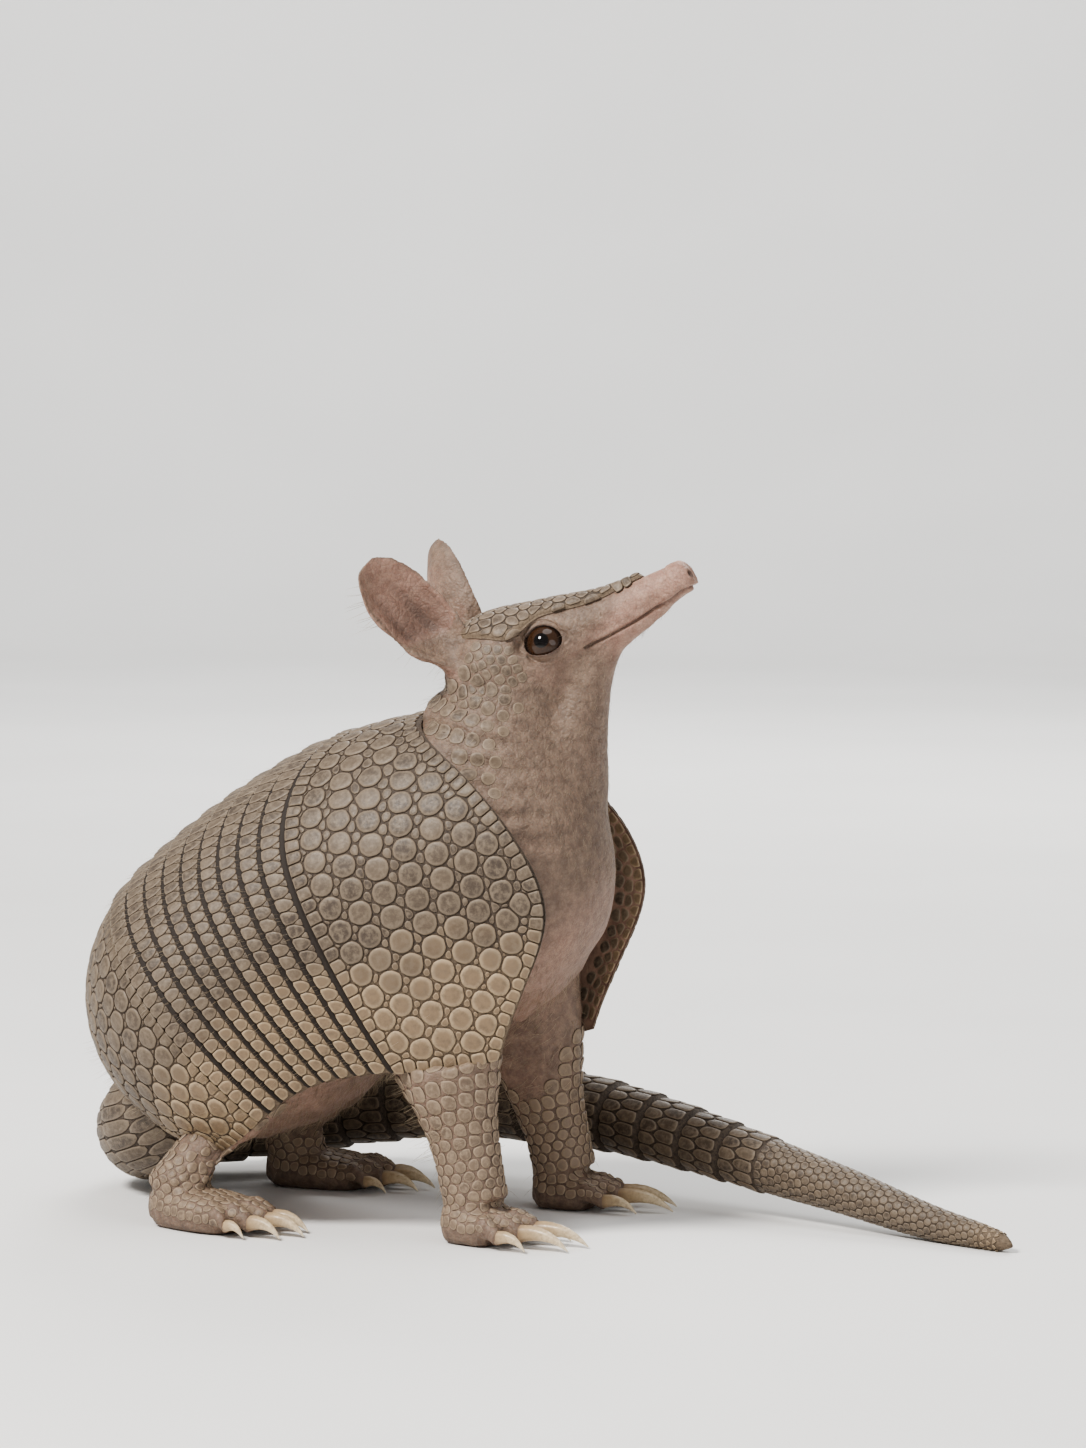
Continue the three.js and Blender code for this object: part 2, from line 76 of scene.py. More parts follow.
HIP, RUMP, SHOULDER, CHEST = 42.0, 72.0, 160.0, 62.0
HALF_WIDTH, HEIGHT, SKIRT, TUCK, BELLY = 76.0, 78.0, 52.0, 13.0, 58.0
THICK, CLEARANCE, RISE = 3.0, 1.2, 1.4
BAND_COUNT, BAND_REAR, BAND_PITCH = 9, 30.0, 11.0
SCAP_REAR, SCAP_CREST, SCAP_SIDE = BAND_REAR + BAND_COUNT * BAND_PITCH, 164.0, 215.0
BOW = 16.0
PELVIC_FRONT, PELVIC_REAR = BAND_REAR, -40.0

HEAD_LENGTH, HEAD_PITCH, HEAD_YAW, HEAD_AT = 114.0, rad(27), rad(6), np.array([46.0, 1.0, 230.0])
EYE_RADIUS, EYE_AT = 9.0, np.array([45.0, 10.9, 1.0])
EAR_LENGTH, EAR_HALF, EAR_THICK = 56.0, 17.0, 2.2
EAR_AT, EAR_SPLAY, EAR_LEAN = np.array([4.0, 12.0, 15.0]), rad(30), {1: rad(-9), -1: rad(3)}
TAIL_LENGTH, TAIL_BASE, TAIL_TIP, TAIL_RINGS, TAIL_RINGED = 530.0, 24.5, 3.2, 16, 0.74

# ---------------------------------------------------------------- small maths


def smoothstep(x, low, high):
    t = np.clip((np.asarray(x, float) - low) / (high - low), 0, 1)
    return t * t * (3 - 2 * t)


def lerp(a, b, t):
    return a + (b - a) * t


def unit(v):
    return v / np.maximum(np.linalg.norm(v, axis=-1, keepdims=True), 1e-12)


def powered(value, power):
    return np.sign(value) * np.abs(value) ** power


def lengths_along(points):
    """How far along a line of points each of them lies."""
    return np.concatenate([[0], np.cumsum(np.linalg.norm(np.diff(points, axis=0), axis=1))])


def roll_off(edge, radius):
    """How far a rounded edge has dropped, from 0 well inside it to 1 at it."""
    return 1 - np.sqrt(np.clip(1 - (1 - np.clip(edge / radius, 0, 1)) ** 2, 0, 1))


def tree_of(points):
    tree = KDTree(len(points))
    for i, p in enumerate(points):
        tree.insert(p, i)
    tree.balance()
    return tree


def profile(pairs):
    """A smooth curve through (position, value) pairs that never overshoots them."""
    xs, ys = np.array(pairs, float).T
    slopes = np.diff(ys) / np.diff(xs)
    tangents = np.empty_like(ys)
    tangents[0], tangents[-1] = slopes[0], slopes[-1]
    a, b = slopes[:-1], slopes[1:]
    safe = np.where(a * b > 0, a + b, 1)
    tangents[1:-1] = np.where(a * b > 0, 2 * a * b / safe, 0)

    def at(x):
        x = np.clip(np.asarray(x, float), xs[0], xs[-1])
        i = np.clip(np.searchsorted(xs, x) - 1, 0, len(xs) - 2)
        h = xs[i + 1] - xs[i]
        t = (x - xs[i]) / h
        return (ys[i] * (1 + 2 * t) * (1 - t) ** 2 + tangents[i] * h * t * (1 - t) ** 2
                + ys[i + 1] * t * t * (3 - 2 * t) + tangents[i + 1] * h * t * t * (t - 1))
    return at


def lattice(p, seed):
    """A random number in 0..1 for each whole-number point."""
    n = (p[..., 0] * 73856093) ^ (p[..., 1] * 19349663) ^ (p[..., 2] * 83492791) ^ (seed * 2654435761)
    n = (n ^ (n >> 13)) * 1274126177
    return ((n ^ (n >> 16)) & 0xFFFFFF) / 0xFFFFFF


def noise(p, size, seed=0):
    """Smooth value noise in -1..1 over points in millimetres."""
    q = np.asarray(p, float) / size
    base = np.floor(q).astype(np.int64)
    f = q - base
    f = f * f * (3 - 2 * f)
    total = np.zeros(q.shape[:-1])
    for i in range(8):
        corner = np.array([i & 1, (i >> 1) & 1, i >> 2])
        weight = np.prod(np.where(corner, f, 1 - f), axis=-1)
        total += weight * lattice(base + corner, seed)
    return total * 2 - 1


# ---------------------------------------------------------------- the body's surfaces


def axis_at(s):
    s = np.asarray(s, float)
    pitch = REAR_PITCH - s / AXIS_RADIUS
    zero = np.zeros_like(pitch)
    origin = AXIS_REAR + AXIS_RADIUS * np.stack(
        [np.sin(REAR_PITCH) - np.sin(pitch), zero, np.cos(pitch) - np.cos(REAR_PITCH)], -1)
    forward = np.stack([np.cos(pitch), zero, np.sin(pitch)], -1)
    up = np.stack([-np.sin(pitch), zero, np.cos(pitch)], -1)
    return origin, forward, up


def skirt_at(s):
    """How far the carapace hangs below the trunk's widest line."""
    return SKIRT + 28 * smoothstep(s, 40, 165)


def body_at(l, less=0.0, chest=False):
    """The trunk's section at l, less thinner all round; its ends close by a quarter turn."""
    l = np.asarray(l, float)
    rump = RUMP - less
    back = np.maximum(0, (HIP - l) / rump)
    front = np.maximum(0, (l - SHOULDER) / CHEST) if chest else np.zeros_like(l)
    s = np.where(back > 0, HIP - rump * np.sin(back),
                 np.where(front > 0, SHOULDER + CHEST * np.sin(front), l))
    shrink = np.cos(back) * np.cos(front)
    taper = smoothstep(s, 112, 224)
    origin, forward, up = axis_at(s)
    return dict(
        s=s, origin=origin, forward=forward, up=up,
        width=(HALF_WIDTH - 16 * taper - less) * shrink,
        height=(HEIGHT - 12 * taper - less) * shrink,
        skirt=skirt_at(s) * np.sqrt(np.maximum(shrink, 0)),
        tuck=TUCK * shrink,
        belly=(BELLY + 4 * smoothstep(s, 90, 165)) * shrink)


def bow(l, v):
    """How far back the sides of the hoops are swept, most where the bands meet the scapular shield."""
    return BOW * smoothstep(np.abs(v), 0,
                            0.5) * smoothstep(l, 20,
                                              SCAP_REAR) * (1 - smoothstep(l, SCAP_REAR, SCAP_REAR + 62))


def quarter_of(b):
    """The length of a quarter of the trunk's section."""
    return (math.pi / 2) * np.sqrt((b["width"] ** 2 + b["height"] ** 2) / 2)


def carapace(l, v):
    """The carapace's outer face: v runs across it, -1 at the right edge and 1 at the left."""
    l = l - bow(l, v)
    b = body_at(l)
    quarter = quarter_of(b)
    reach = np.abs(v) * (quarter + b["skirt"])
    angle = np.minimum(reach / quarter, 1) * (math.pi / 2)
    drop = np.maximum(0, reach - quarter) / b["skirt"]
    y = b["width"] * np.sin(angle) - b["tuck"] * drop ** 2
    z = b["height"] * np.cos(angle) - b["skirt"] * drop
    p = b["origin"] + b["up"] * z[..., None]
    p[..., 1] += np.sign(v) * y
    return p


def normals_of(surface, u, w, du, dw):
    along = surface(u + du, w) - surface(u - du, w)
    across = surface(u, w + dw) - surface(u, w - dw)
    return unit(np.cross(along, across))


def shell_normal(l, v):
    return normals_of(carapace, l, v, 0.5, 0.004)


def scapular_front(v):
    a = np.abs(v)
    return lerp(SCAP_CREST, SCAP_SIDE, smoothstep(a, 0.05, 0.66)) - 46 * smoothstep(a, 0.66, 1.1)


def pelvic_rear(v):
    return PELVIC_REAR + 34 * smoothstep(np.abs(v), 0.72, 1.12)


# ---------------------------------------------------------------- the head

_cy, _sy, _cp, _sp = math.cos(HEAD_YAW), math.sin(HEAD_YAW), math.cos(HEAD_PITCH), math.sin(HEAD_PITCH)
HEAD_TURN = (np.array([[_cy, -_sy, 0], [_sy, _cy, 0], [0, 0, 1]])
             @ np.array([[_cp, 0, -_sp], [0, 1, 0], [_sp, 0, _cp]]))


def in_head(p):
    return np.asarray(p, float) @ HEAD_TURN.T + HEAD_AT


def to_head(p):
    return (np.asarray(p, float) - HEAD_AT) @ HEAD_TURN


head_width = profile([(0, 20), (18, 24.5), (50, 17), (80, 9.4), (104, 7.6)])
head_top = profile([(0, 19), (20, 24), (50, 17.5), (80, 10), (104, 8.6)])
head_bottom = profile([(0, 22), (22, 26), (45, 19), (64, 9), (96, 6), (104, 6.4)])
jaw_width = profile([(26, 17), (64, 9.6), (99, 4.2)])
jaw_bottom = profile([(26, 28), (64, 17), (99, 9.8)])
brow_angle = profile([(8, 26), (24, 52), (34, 64), (50, 44), (66, 44), (94, 14)])
NOSE_START = HEAD_LENGTH - 6


def head_surface(x, angle, offset=0.0):
    x, angle = np.broadcast_arrays(np.asarray(x, float), np.asarray(angle, float))
    closing = np.maximum(0, 1 - np.maximum(0, (x - NOSE_START) / 6) ** 3) ** (1 / 3)
    w = head_width(x) * closing + offset
    h = np.where(np.cos(angle) > 0, head_top(x), head_bottom(x)) * closing + offset
    return in_head(np.stack([x, -w * np.sin(angle), h * np.cos(angle)], -1))


# ---------------------------------------------------------------- the tail

tail_turn = profile([(0, 160), (0.04, 146), (0.1, 102), (0.18, 54), (0.3, 10), (0.42, -6), (0.6, -18),
                     (1, -24)])
tail_lift = profile([(0, 22), (0.05, 11), (0.11, 4), (0.22, 7), (0.42, 20), (0.5, 21), (0.8, 7), (0.94, 0),
                     (1, 0)])


def tail_radius(t):
    return lerp(TAIL_TIP, TAIL_BASE, (1 - np.asarray(t, float)) ** 0.65)


TAIL_STEPS = 160


def tail_path():
    """The tail's middle line, walked from its root at floor height and heading."""
    steps = TAIL_STEPS
    origin, _, _ = axis_at(-10.0)
    x, y = origin[0], origin[1]
    points = []
    for i in range(steps + 1):
        t = i / steps
        points.append([x, y, float(tail_radius(t)) - 0.4 + float(tail_lift(t))])
        fall = float(tail_lift(t + 1 / steps) - tail_lift(t)) / (TAIL_LENGTH / steps)
        stride = TAIL_LENGTH / steps * math.sqrt(max(0.2, 1 - fall * fall))
        heading = rad(float(tail_turn(t)))
        x += stride * math.cos(heading)
        y += stride * math.sin(heading)
    return np.array(points)


TAIL_POINTS = tail_path()


def tail_frame(t):
    n = len(TAIL_POINTS) - 1
    at = np.clip(np.asarray(t, float), 0, 1) * n
    i = np.minimum(np.floor(at).astype(int), n - 1)
    f = (at - i)[..., None]

    def tangent(j):
        return unit(TAIL_POINTS[np.minimum(j + 3, n)] - TAIL_POINTS[np.maximum(j - 2, 0)])
    origin = TAIL_POINTS[i] * (1 - f) + TAIL_POINTS[i + 1] * f
    forward = unit(tangent(i) * (1 - f) + tangent(np.minimum(i + 1, n)) * f)
    side = unit(np.cross(np.array([0.0, 0.0, 1.0]), forward))
    return origin, forward, side, np.cross(forward, side)


def tail_surface(t, angle, offset=0.0):
    t, angle = np.broadcast_arrays(np.asarray(t, float), np.asarray(angle, float))
    origin, _, side, up = tail_frame(t)
    r = (tail_radius(t) + offset)[..., None]
    return origin - side * r * np.sin(angle)[..., None] + up * r * np.cos(angle)[..., None]


def ring_start(i):
    return TAIL_RINGED * (np.asarray(i, float) / TAIL_RINGS) ** 0.9


# ---------------------------------------------------------------- the legs

FRONT = dict(
    stations=[[50, 34, 132, 26, 34], [52, 42, 104, 23, 30], [59, 47, 72, 18, 23], [67, 49, 42, 13, 15],
              [73, 50, 16, 12.6, 13.5]],
    foot=dict(at=(68, 50), splay=rad(7), rear=-9, front=20, rear_width=12, front_width=16, rear_height=20,
              front_height=15),
    toes=[(-12.5, 7, 4.4, 14), (-4.6, 12, 5.4, 23), (4.8, 11, 5.4, 22), (13, 5, 4.4, 13)])
HIND = dict(
    stations=[[-44, 36, 110, 26, 36], [-36, 45, 80, 22.5, 31], [-44, 53, 54, 17, 21],
              [-58, 58, 33, 12, 13.5], [-64, 60, 14, 11.5, 12.5]],
    foot=dict(at=(-66, 60), splay=rad(9), rear=-9, front=40, rear_width=10, front_width=17, rear_height=20,
              front_height=14),
    toes=[(-14.6, 1, 4, 9), (-7.8, 8, 5, 15), (0, 11, 5.2, 17), (7.8, 8, 5, 15), (14.6, 0, 4, 9)])
LEGS = [(f"{end}_{word}", leg, side) for end, leg in (("front", FRONT), ("hind", HIND))
        for word, side in (("left", 1), ("right", -1))]


def centripetal(points, t):
    """A centripetal Catmull-Rom curve's points at t in 0..1."""
    points = np.asarray(points, float)
    n = len(points)
    ends = np.vstack([2 * points[0] - points[1], points, 2 * points[-1] - points[-2]])
    at = np.clip(t, 0, 1) * (n - 1)
    i = np.minimum(np.floor(at).astype(int), n - 2)
    w = (at - i)[..., None]
    p0, p1, p2, p3 = ends[i], ends[i + 1], ends[i + 2], ends[i + 3]
    d0, d1, d2 = (np.sqrt(np.linalg.norm(b - a, axis=-1, keepdims=True)) for a,
                  b in ((p0, p1), (p1, p2), (p2, p3)))
    t1 = ((p1 - p0) / d0 - (p2 - p0) / (d0 + d1) + (p2 - p1) / d1) * d1
    t2 = ((p2 - p1) / d1 - (p3 - p1) / (d1 + d2) + (p3 - p2) / d2) * d1
    return (p1 + t1 * w + (-3 * p1 + 3 * p2 - 2 * t1 - t2) * w ** 2 + (2 * p1 - 2 * p2 + t1 + t2) * w ** 3)


def limb_radii(stations):
    """The limb's half width and half depth along it."""
    last = len(stations) - 1
    return (profile([(i / last, s) for i, s in enumerate(stations[:, k])]) for k in (3, 4))


def limb_surface(leg, side, t, angle, offset=0.0):
    stations = np.array(leg["stations"], float)
    points = stations[:, :3] * np.array([1, side, 1])
    across, deep = limb_radii(stations)
    t, angle = np.broadcast_arrays(np.asarray(t, float), np.asarray(angle, float))
    forward = unit(centripetal(points, np.minimum(t + 1e-3, 1))
                   - centripetal(points, np.maximum(t - 1e-3, 0)))
    out = unit(np.array([0.0, 1.0, 0.0]) - forward * forward[..., 1:2])
    fore = np.cross(out, forward)
    return (centripetal(points, t) + out * ((across(t) + offset) * np.sin(angle))[..., None]
            + fore * ((deep(t) + offset) * np.cos(angle))[..., None])


def on_foot(foot, side, x, y, z):
    c, s = math.cos(foot["splay"]), math.sin(foot["splay"])
    x, y, z = np.broadcast_arrays(*(np.asarray(v, float) for v in (x, y, z)))
    return np.stack([x * c - y * s + foot["at"][0], side * (x * s + y * c + foot["at"][1]), z], -1)


def fan(foot, toe, x):
    return toe[0] * (1 + 0.012 * (x - foot["front"] + 10))


# ---------------------------------------------------------------- meshes

SHIFT = (np.array(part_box("eye_left")[0]) + np.array(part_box("eye_left")[1])) * 500 - in_head(EYE_AT)
SHIFT[2] = 0.0


def row(points):
    """Millimetres in the animal's frame to metres in the row frame."""
    return (np.asarray(points, float) + SHIFT) * 0.001


def make(name, verts, faces, material, smooth=True, attributes=None, uv=None):
    """An object from points in millimetres. faces is one array, or a list of arrays, of corner indices."""
    faces = faces if isinstance(faces, list) else [faces]
    mesh = bpy.data.meshes.new(name)
    verts = row(verts)
    loops = np.concatenate([f.ravel() for f in faces]).astype(np.int32)
    sizes = np.concatenate([np.full(len(f), f.shape[1]) for f in faces])
    mesh.vertices.add(len(verts))
    mesh.vertices.foreach_set("co", verts.astype(np.float32).ravel())
    mesh.loops.add(len(loops))
    mesh.loops.foreach_set("vertex_index", loops)
    mesh.polygons.add(len(sizes))
    mesh.polygons.foreach_set("loop_start", np.concatenate([[0], np.cumsum(sizes)[:-1]]).astype(np.int32))
    mesh.polygons.foreach_set("loop_total", sizes.astype(np.int32))
    for key, values in (attributes or {}).items():
        mesh.attributes.new(key, "FLOAT", "POINT").data.foreach_set("value", np.asarray(values, np.float32))
    if uv is not None:
        layer = mesh.uv_layers.new(name="OFBake")
        layer.data.foreach_set("uv", np.asarray(uv, np.float32)[loops].ravel())
    mesh.update()
    mesh.validate()
    mesh.polygons.foreach_set("use_smooth", np.full(len(mesh.polygons), smooth))
    mesh.materials.append(material)
    obj = bpy.data.objects.new(name, mesh)
    bpy.context.scene.collection.objects.link(obj)
    return obj


def grid_faces(rows, columns, wrap):
    """Quads over a grid of points, row after row, closed round each row if wrap."""
    i, j = np.meshgrid(np.arange(rows - 1), np.arange(columns if wrap else columns - 1), indexing="ij")
    a = i * columns + j
    b = i * columns + (j + 1) % columns
    return np.stack([a, b, b + columns, a + columns], -1).reshape(-1, 4)


def swept_volume(verts, *sets):
    """Six times the volume inside triangles; below nought if they face inwards."""
    total = 0.0
    for f in sets:
        v = verts[f]
        total += np.einsum("ij,ij->i", v[:, 0], np.cross(v[:, 1], v[:, 2])).sum()
    return total


def loft(place, ts, around):
    """A closed tube: place(t, angle) gives the points at t, and its ends close on their own middles."""
    ts = np.asarray(ts, float)
    angle = np.arange(around) * 2 * math.pi / around
    t, a = np.meshgrid(ts, angle, indexing="ij")
    p = place(t, a)
    ends = np.stack([p[0].mean(0), p[-1].mean(0)])
    n = len(ts) * around
    k = np.arange(around)
    first = np.stack([np.full(around, n), (k + 1) % around, k], -1)
    last = np.stack([np.full(around, n + 1), n - around + k, n - around + (k + 1) % around], -1)
    verts = np.vstack([p.reshape(-1, 3), ends])
    quads = grid_faces(len(ts), around, True)
    # outwards whichever way the sections turn
    if swept_volume(verts, quads[:, :3], quads[:, [0, 2, 3]], first, last) < 0:
        quads, first, last = quads[:, ::-1], first[:, ::-1], last[:, ::-1]
    return verts, [quads, np.vstack([first, last])]


def joined(parts):
    verts, quads, tris, n = [], [], [], 0
    for v, (q, t) in parts:
        verts.append(v)
        quads.append(q + n)
        tris.append(t + n)
        n += len(v)
    return np.vstack(verts), [np.vstack(quads), np.vstack(tris)]


# ---------------------------------------------------------------- scutes: cells laid out on a surface


def clip(poly, nx, ny, d):
    """The part of a convex polygon on the near side of a line."""
    out = []
    px, py = poly[-1]
    sp = px * nx + py * ny - d
    for x, y in poly:
        s = x * nx + y * ny - d
        if (sp <= 0) != (s <= 0):
            k = sp / (sp - s)
            out.append((px + (x - px) * k, py + (y - py) * k))
        if s <= 0:
            out.append((x, y))
        px, py, sp = x, y, s
    return out


def rounded(poly, m, soft=0.22, times=2):
    """A polygon with its corners cut, as m points evenly along it."""
    p = np.asarray(poly, float)
    for _ in range(times):
        q = np.roll(p, -1, 0)
        p = np.stack([lerp(p, q, soft), lerp(p, q, 1 - soft)], 1).reshape(-1, 2)
    closed = np.vstack([p, p[:1]])
    run = lengths_along(closed)
    at = np.linspace(0, run[-1], m, endpoint=False)
    return np.stack([np.interp(at, run, closed[:, 0]), np.interp(at, run, closed[:, 1])], -1)


class Surface:
    """A surface given by a function of (u, w), with a tangent frame at each seed."""

    def __init__(self, place, du, dw, outward=1):
        self.place, self.du, self.dw, self.outward = place, du, dw, outward

    def seed(self, uw):
        self.uw = uw = np.asarray(uw, float)
        u, w = uw[:, 0], uw[:, 1]
        self.at = self.place(u, w)
        su = (self.place(u + self.du, w) - self.place(u - self.du, w)) / (2 * self.du)
        sw = (self.place(u, w + self.dw) - self.place(u, w - self.dw)) / (2 * self.dw)
        self.e1 = unit(su)
        self.n = unit(np.cross(su, sw)) * self.outward
        self.e2 = np.cross(self.n, self.e1)
        m = np.stack([np.stack([(su * self.e1).sum(-1), (sw * self.e1).sum(-1)], -1),
                      np.stack([(su * self.e2).sum(-1), (sw * self.e2).sum(-1)], -1)], -2)
        self.inverse = np.linalg.inv(m)
        return self

    def uw_of(self, ab):
        """(u, w) of local places ab, an array of seeds by anything by 2."""
        flat = ab.reshape(len(self.uw), -1, 2)
        return (self.uw[:, None] + np.einsum("nij,nkj->nki", self.inverse, flat)).reshape(ab.shape)

    def only(self, keep):
        part = Surface(self.place, self.du, self.dw, self.outward)
        for key in ("uw", "at", "e1", "e2", "n", "inverse"):
            setattr(part, key, getattr(self, key)[keep])
        return part

    def embed(self, ab, h):
        uw = self.uw_of(ab)
        u, w = uw[..., 0], uw[..., 1]
        out = normals_of(self.place, u, w, self.du, self.dw) * self.outward
        return self.place(u, w) + out * h[..., None]


class Hide:
    """The same over the skin's own mesh: local places are dropped onto it."""

    def __init__(self, tree):
        self.tree = tree

    def only(self, keep):
        part = Hide(self.tree)
        for key in ("at", "e1", "e2", "n"):
            setattr(part, key, getattr(self, key)[keep])
        return part

    def seed(self, points, along):
        found = [self.tree.find_nearest(Vector(p)) for p in points]
        self.at = np.array([f[0] for f in found])
        n = []
        for f in found:
            near = self.tree.find_nearest_range(f[0], 2.2)
            n.append(np.mean([np.array(k[1]) for k in near], 0) if near else np.array(f[1]))
        self.n = unit(np.array(n))
        along = np.asarray(along, float)
        self.e1 = unit(along - self.n * (along * self.n).sum(-1, keepdims=True))
        self.e2 = np.cross(self.n, self.e1)
        return self

    def embed(self, ab, h):
        k = (len(self.at),) + (1,) * (ab.ndim - 2) + (3,)
        at, e1, e2, n = (v.reshape(k) for v in (self.at, self.e1, self.e2, self.n))
        p = at + e1 * ab[..., 0:1] + e2 * ab[..., 1:2]
        flat = p.reshape(-1, 3)
        hit = np.array([self.tree.find_nearest(Vector(q))[0] for q in flat]).reshape(p.shape)
        return hit + n * h[..., None]


WALL_REACH = 0.52


def cells(field, reach, gap, size=None, walls=None, wall_gap=0.3, sides=8):
    """Each seed's own cell among its neighbours, in its local plane, gap apart. size weighs a seed's share.

    Only walls within WALL_REACH times reach of a seed bound its cell."""
    at, n = field.at, len(field.at)
    reach = np.broadcast_to(reach, n)
    size = np.zeros(n) if size is None else size
    tree = tree_of(at)
    wall_tree = None if walls is None else tree_of(walls[0])
    polys = []
    turn = np.arange(sides) * 2 * math.pi / sides
    for i in range(n):
        r = reach[i] * 0.62
        poly = [(r * math.cos(a), r * math.sin(a)) for a in turn]
        e1, e2 = field.e1[i], field.e2[i]
        for _, j, _ in tree.find_range(at[i], reach[i] * 1.3 + 0.5 * float(size.max())):
            if j == i:
                continue
            d = at[j] - at[i]
            x, y = float(d @ e1), float(d @ e2)
            length = math.hypot(x, y)
            if length < 1e-6:
                continue
            poly = clip(poly, x / length, y / length,
                        length / 2 + (size[i] ** 2 - size[j] ** 2) / (2 * length) - gap / 2)
            if len(poly) < 3:
                break
        if wall_tree is not None and len(poly) >= 3:
            for _, j, _ in wall_tree.find_range(at[i], reach[i] * WALL_REACH):
                d, inward = walls[0][j] - at[i], walls[1][j]
                x, y = -float(inward @ e1), -float(inward @ e2)
                length = math.hypot(x, y)
                if length < 0.3:
                    continue
                x, y = x / length, y / length
                poly = clip(poly, x, y, float(d @ e1) * x + float(d @ e2) * y - wall_gap)
                if len(poly) < 3:
                    break
        polys.append(poly if len(poly) >= 3 else None)
    return polys


def limited(poly, reach):
    """A cell kept within reach of its seed, so that one at the edge of a field isn't long."""
    if poly is None:
        return None
    for k in range(12):
        a = k * math.pi / 6
        poly = clip(poly, math.cos(a), math.sin(a), reach)
        if len(poly) < 3:
            return None
    return poly


def area_of(poly):
    p = np.asarray(poly)
    q = np.roll(p, -1, 0)
    return 0.5 * float((p[:, 0] * q[:, 1] - q[:, 0] * p[:, 1]).sum())


def middle_of(poly):
    return np.asarray(poly).mean(0)


# From a scute's foot to the crown of its back: share of its outline, share of its height.
DOMED = [(1.0, -0.9), (1.0, 0.0), (0.95, 0.62), (0.84, 0.93), (0.55, 1.08), (0.25, 1.12)]
FLAT = [(1.0, -0.9), (1.0, 0.1), (0.93, 0.72), (0.8, 0.97), (0.42, 1.02)]


def scutes(field, polys, height, m, rings, low=None, soft=0.22, uv=None, lean=0.0, times=2):
    """Closed little plates over cells. Returns points, faces, attributes and map places.

    uv gives each seed's place on the map, in millimetres."""
    keep = [i for i, p in enumerate(polys) if p is not None and area_of(p) > 0.8]
    ring = np.array([rounded(polys[i], m, soft, times) for i in keep])
    centre = ring.mean(1, keepdims=True)
    height = np.broadcast_to(height, len(polys))[keep]
    n, r = len(keep), len(rings)
    ab = np.stack([centre + (ring - centre) * s for s, _ in rings], 1)
    ab = np.concatenate([ab.reshape(n, -1, 2), centre], 1)
    up = np.concatenate([np.repeat([h for _, h in rings], m), [rings[-1][1] * 1.01]])
    h = height[:, None] * up[None]
    if lean:
        # raised towards its rear edge
        span = np.abs(ring[:, :, 0] - centre[:, :, 0]).max(1)[:, None]
        h = h + lean * np.where(up > 0, np.clip(-(ab[..., 0] - centre[..., 0]) / span, -1, 1),
                                0) * height[:, None]
    sub = field.only(keep)
    verts = sub.embed(ab, h)
    k = r * m + 1
    base = np.arange(n)[:, None, None] * k
    quads = (base + grid_faces(r, m, True)[None]).reshape(-1, 4)
    j = np.arange(m)
    cap = np.stack([(r - 1) * m + j, (r - 1) * m + (j + 1) % m, np.full(m, r * m)], -1)
    foot = np.stack([j[1:-1] + 1, j[1:-1], np.zeros(m - 2, int)], -1)
    feet, caps = (base + foot[None]).reshape(-1, 3), (base + cap[None]).reshape(-1, 3)
    rim = np.concatenate([np.repeat(np.clip([s for s, _ in rings], 0, 1), m), [0.0]])
    # a scute's sides are marked 1.15: they take the pale edge colour and painted shade, deepest at their
    # foot and fading up onto the shoulder
    rim = np.where(up < 0.3, 1.15, rim)
    attributes = dict(
        rim=np.tile(rim, n),
        cell=np.repeat(rng.random(n), k),
        low=np.repeat(np.zeros(n) if low is None else np.asarray(low)[keep], k))
    places = None
    if uv is not None:
        # each cell keeps its own shape on the map, drawn small enough to clear its neighbours
        tree = tree_of(field.at)
        shrink = np.ones(n)
        for row_, i in enumerate(keep):
            near = [(float(np.hypot(*(uv[i] - uv[o]))), d) for _, o, d in tree.find_n(field.at[i], 7)
                    if o != i and d > 0.3]
            close = [a / d for a, d in near if a < 4 * d]
            shrink[row_] = min(1.0, 0.97 * min(close)) if close else 0.5
        wide = ab.copy()
        wide[:, :m] = centre + (ring - centre) * 1.04
        places = (uv[keep][:, None] + wide * np.maximum(shrink, 0.05)[:, None, None]).reshape(-1, 2)
    return verts.reshape(-1, 3), [feet, quads, caps], attributes, places


def merged(sets):
    """Several results of scutes() as one."""
    verts, faces, attributes, places, n = [], [[], [], []], {}, [], 0
    for v, f, a, p in sets:
        verts.append(v)
        for store, array in zip(faces, f):
            store.append(array + n)
        for key, values in a.items():
            attributes.setdefault(key, []).append(values)
        if p is not None:
            places.append(p)
        n += len(v)
    return (np.vstack(verts), [np.vstack(f) for f in faces],
            {k: np.concatenate(v) for k, v in attributes.items()}, np.vstack(places) if places else None)


# ---------------------------------------------------------------- materials


def material(name, build):
    mat = bpy.data.materials.new(name)
    mat.use_nodes = True
    nodes, links = mat.node_tree.nodes, mat.node_tree.links
    shader = nodes["Principled BSDF"]

    def node(kind, **settings):
        made = nodes.new(kind)
        inputs = settings.pop("inputs", {})
        for key, value in settings.items():
            setattr(made, key, value)
        for key, value in inputs.items():
            if isinstance(value, bpy.types.NodeSocket):
                links.new(value, made.inputs[key])
            else:
                made.inputs[key].default_value = value
        return made

    build(node, links, shader)
    return mat


def attribute(node, name):
    return node("ShaderNodeAttribute", attribute_name=name).outputs["Fac"]


def maths(node, operation, a, b=0.0, clamp=False):
    return node("ShaderNodeMath", operation=operation, use_clamp=clamp, inputs={0: a, 1: b}).outputs[0]


def ramp(node, value, *stops):
    made = node("ShaderNodeValToRGB", inputs={0: value})
    made.color_ramp.interpolation = "EASE"
    while len(made.color_ramp.elements) < len(stops):
        made.color_ramp.elements.new(0.5)
    for element, (position, colour) in zip(made.color_ramp.elements, stops):
        element.position = position
        element.color = (*colour, 1) if len(colour) == 3 else colour
    return made.outputs[0]


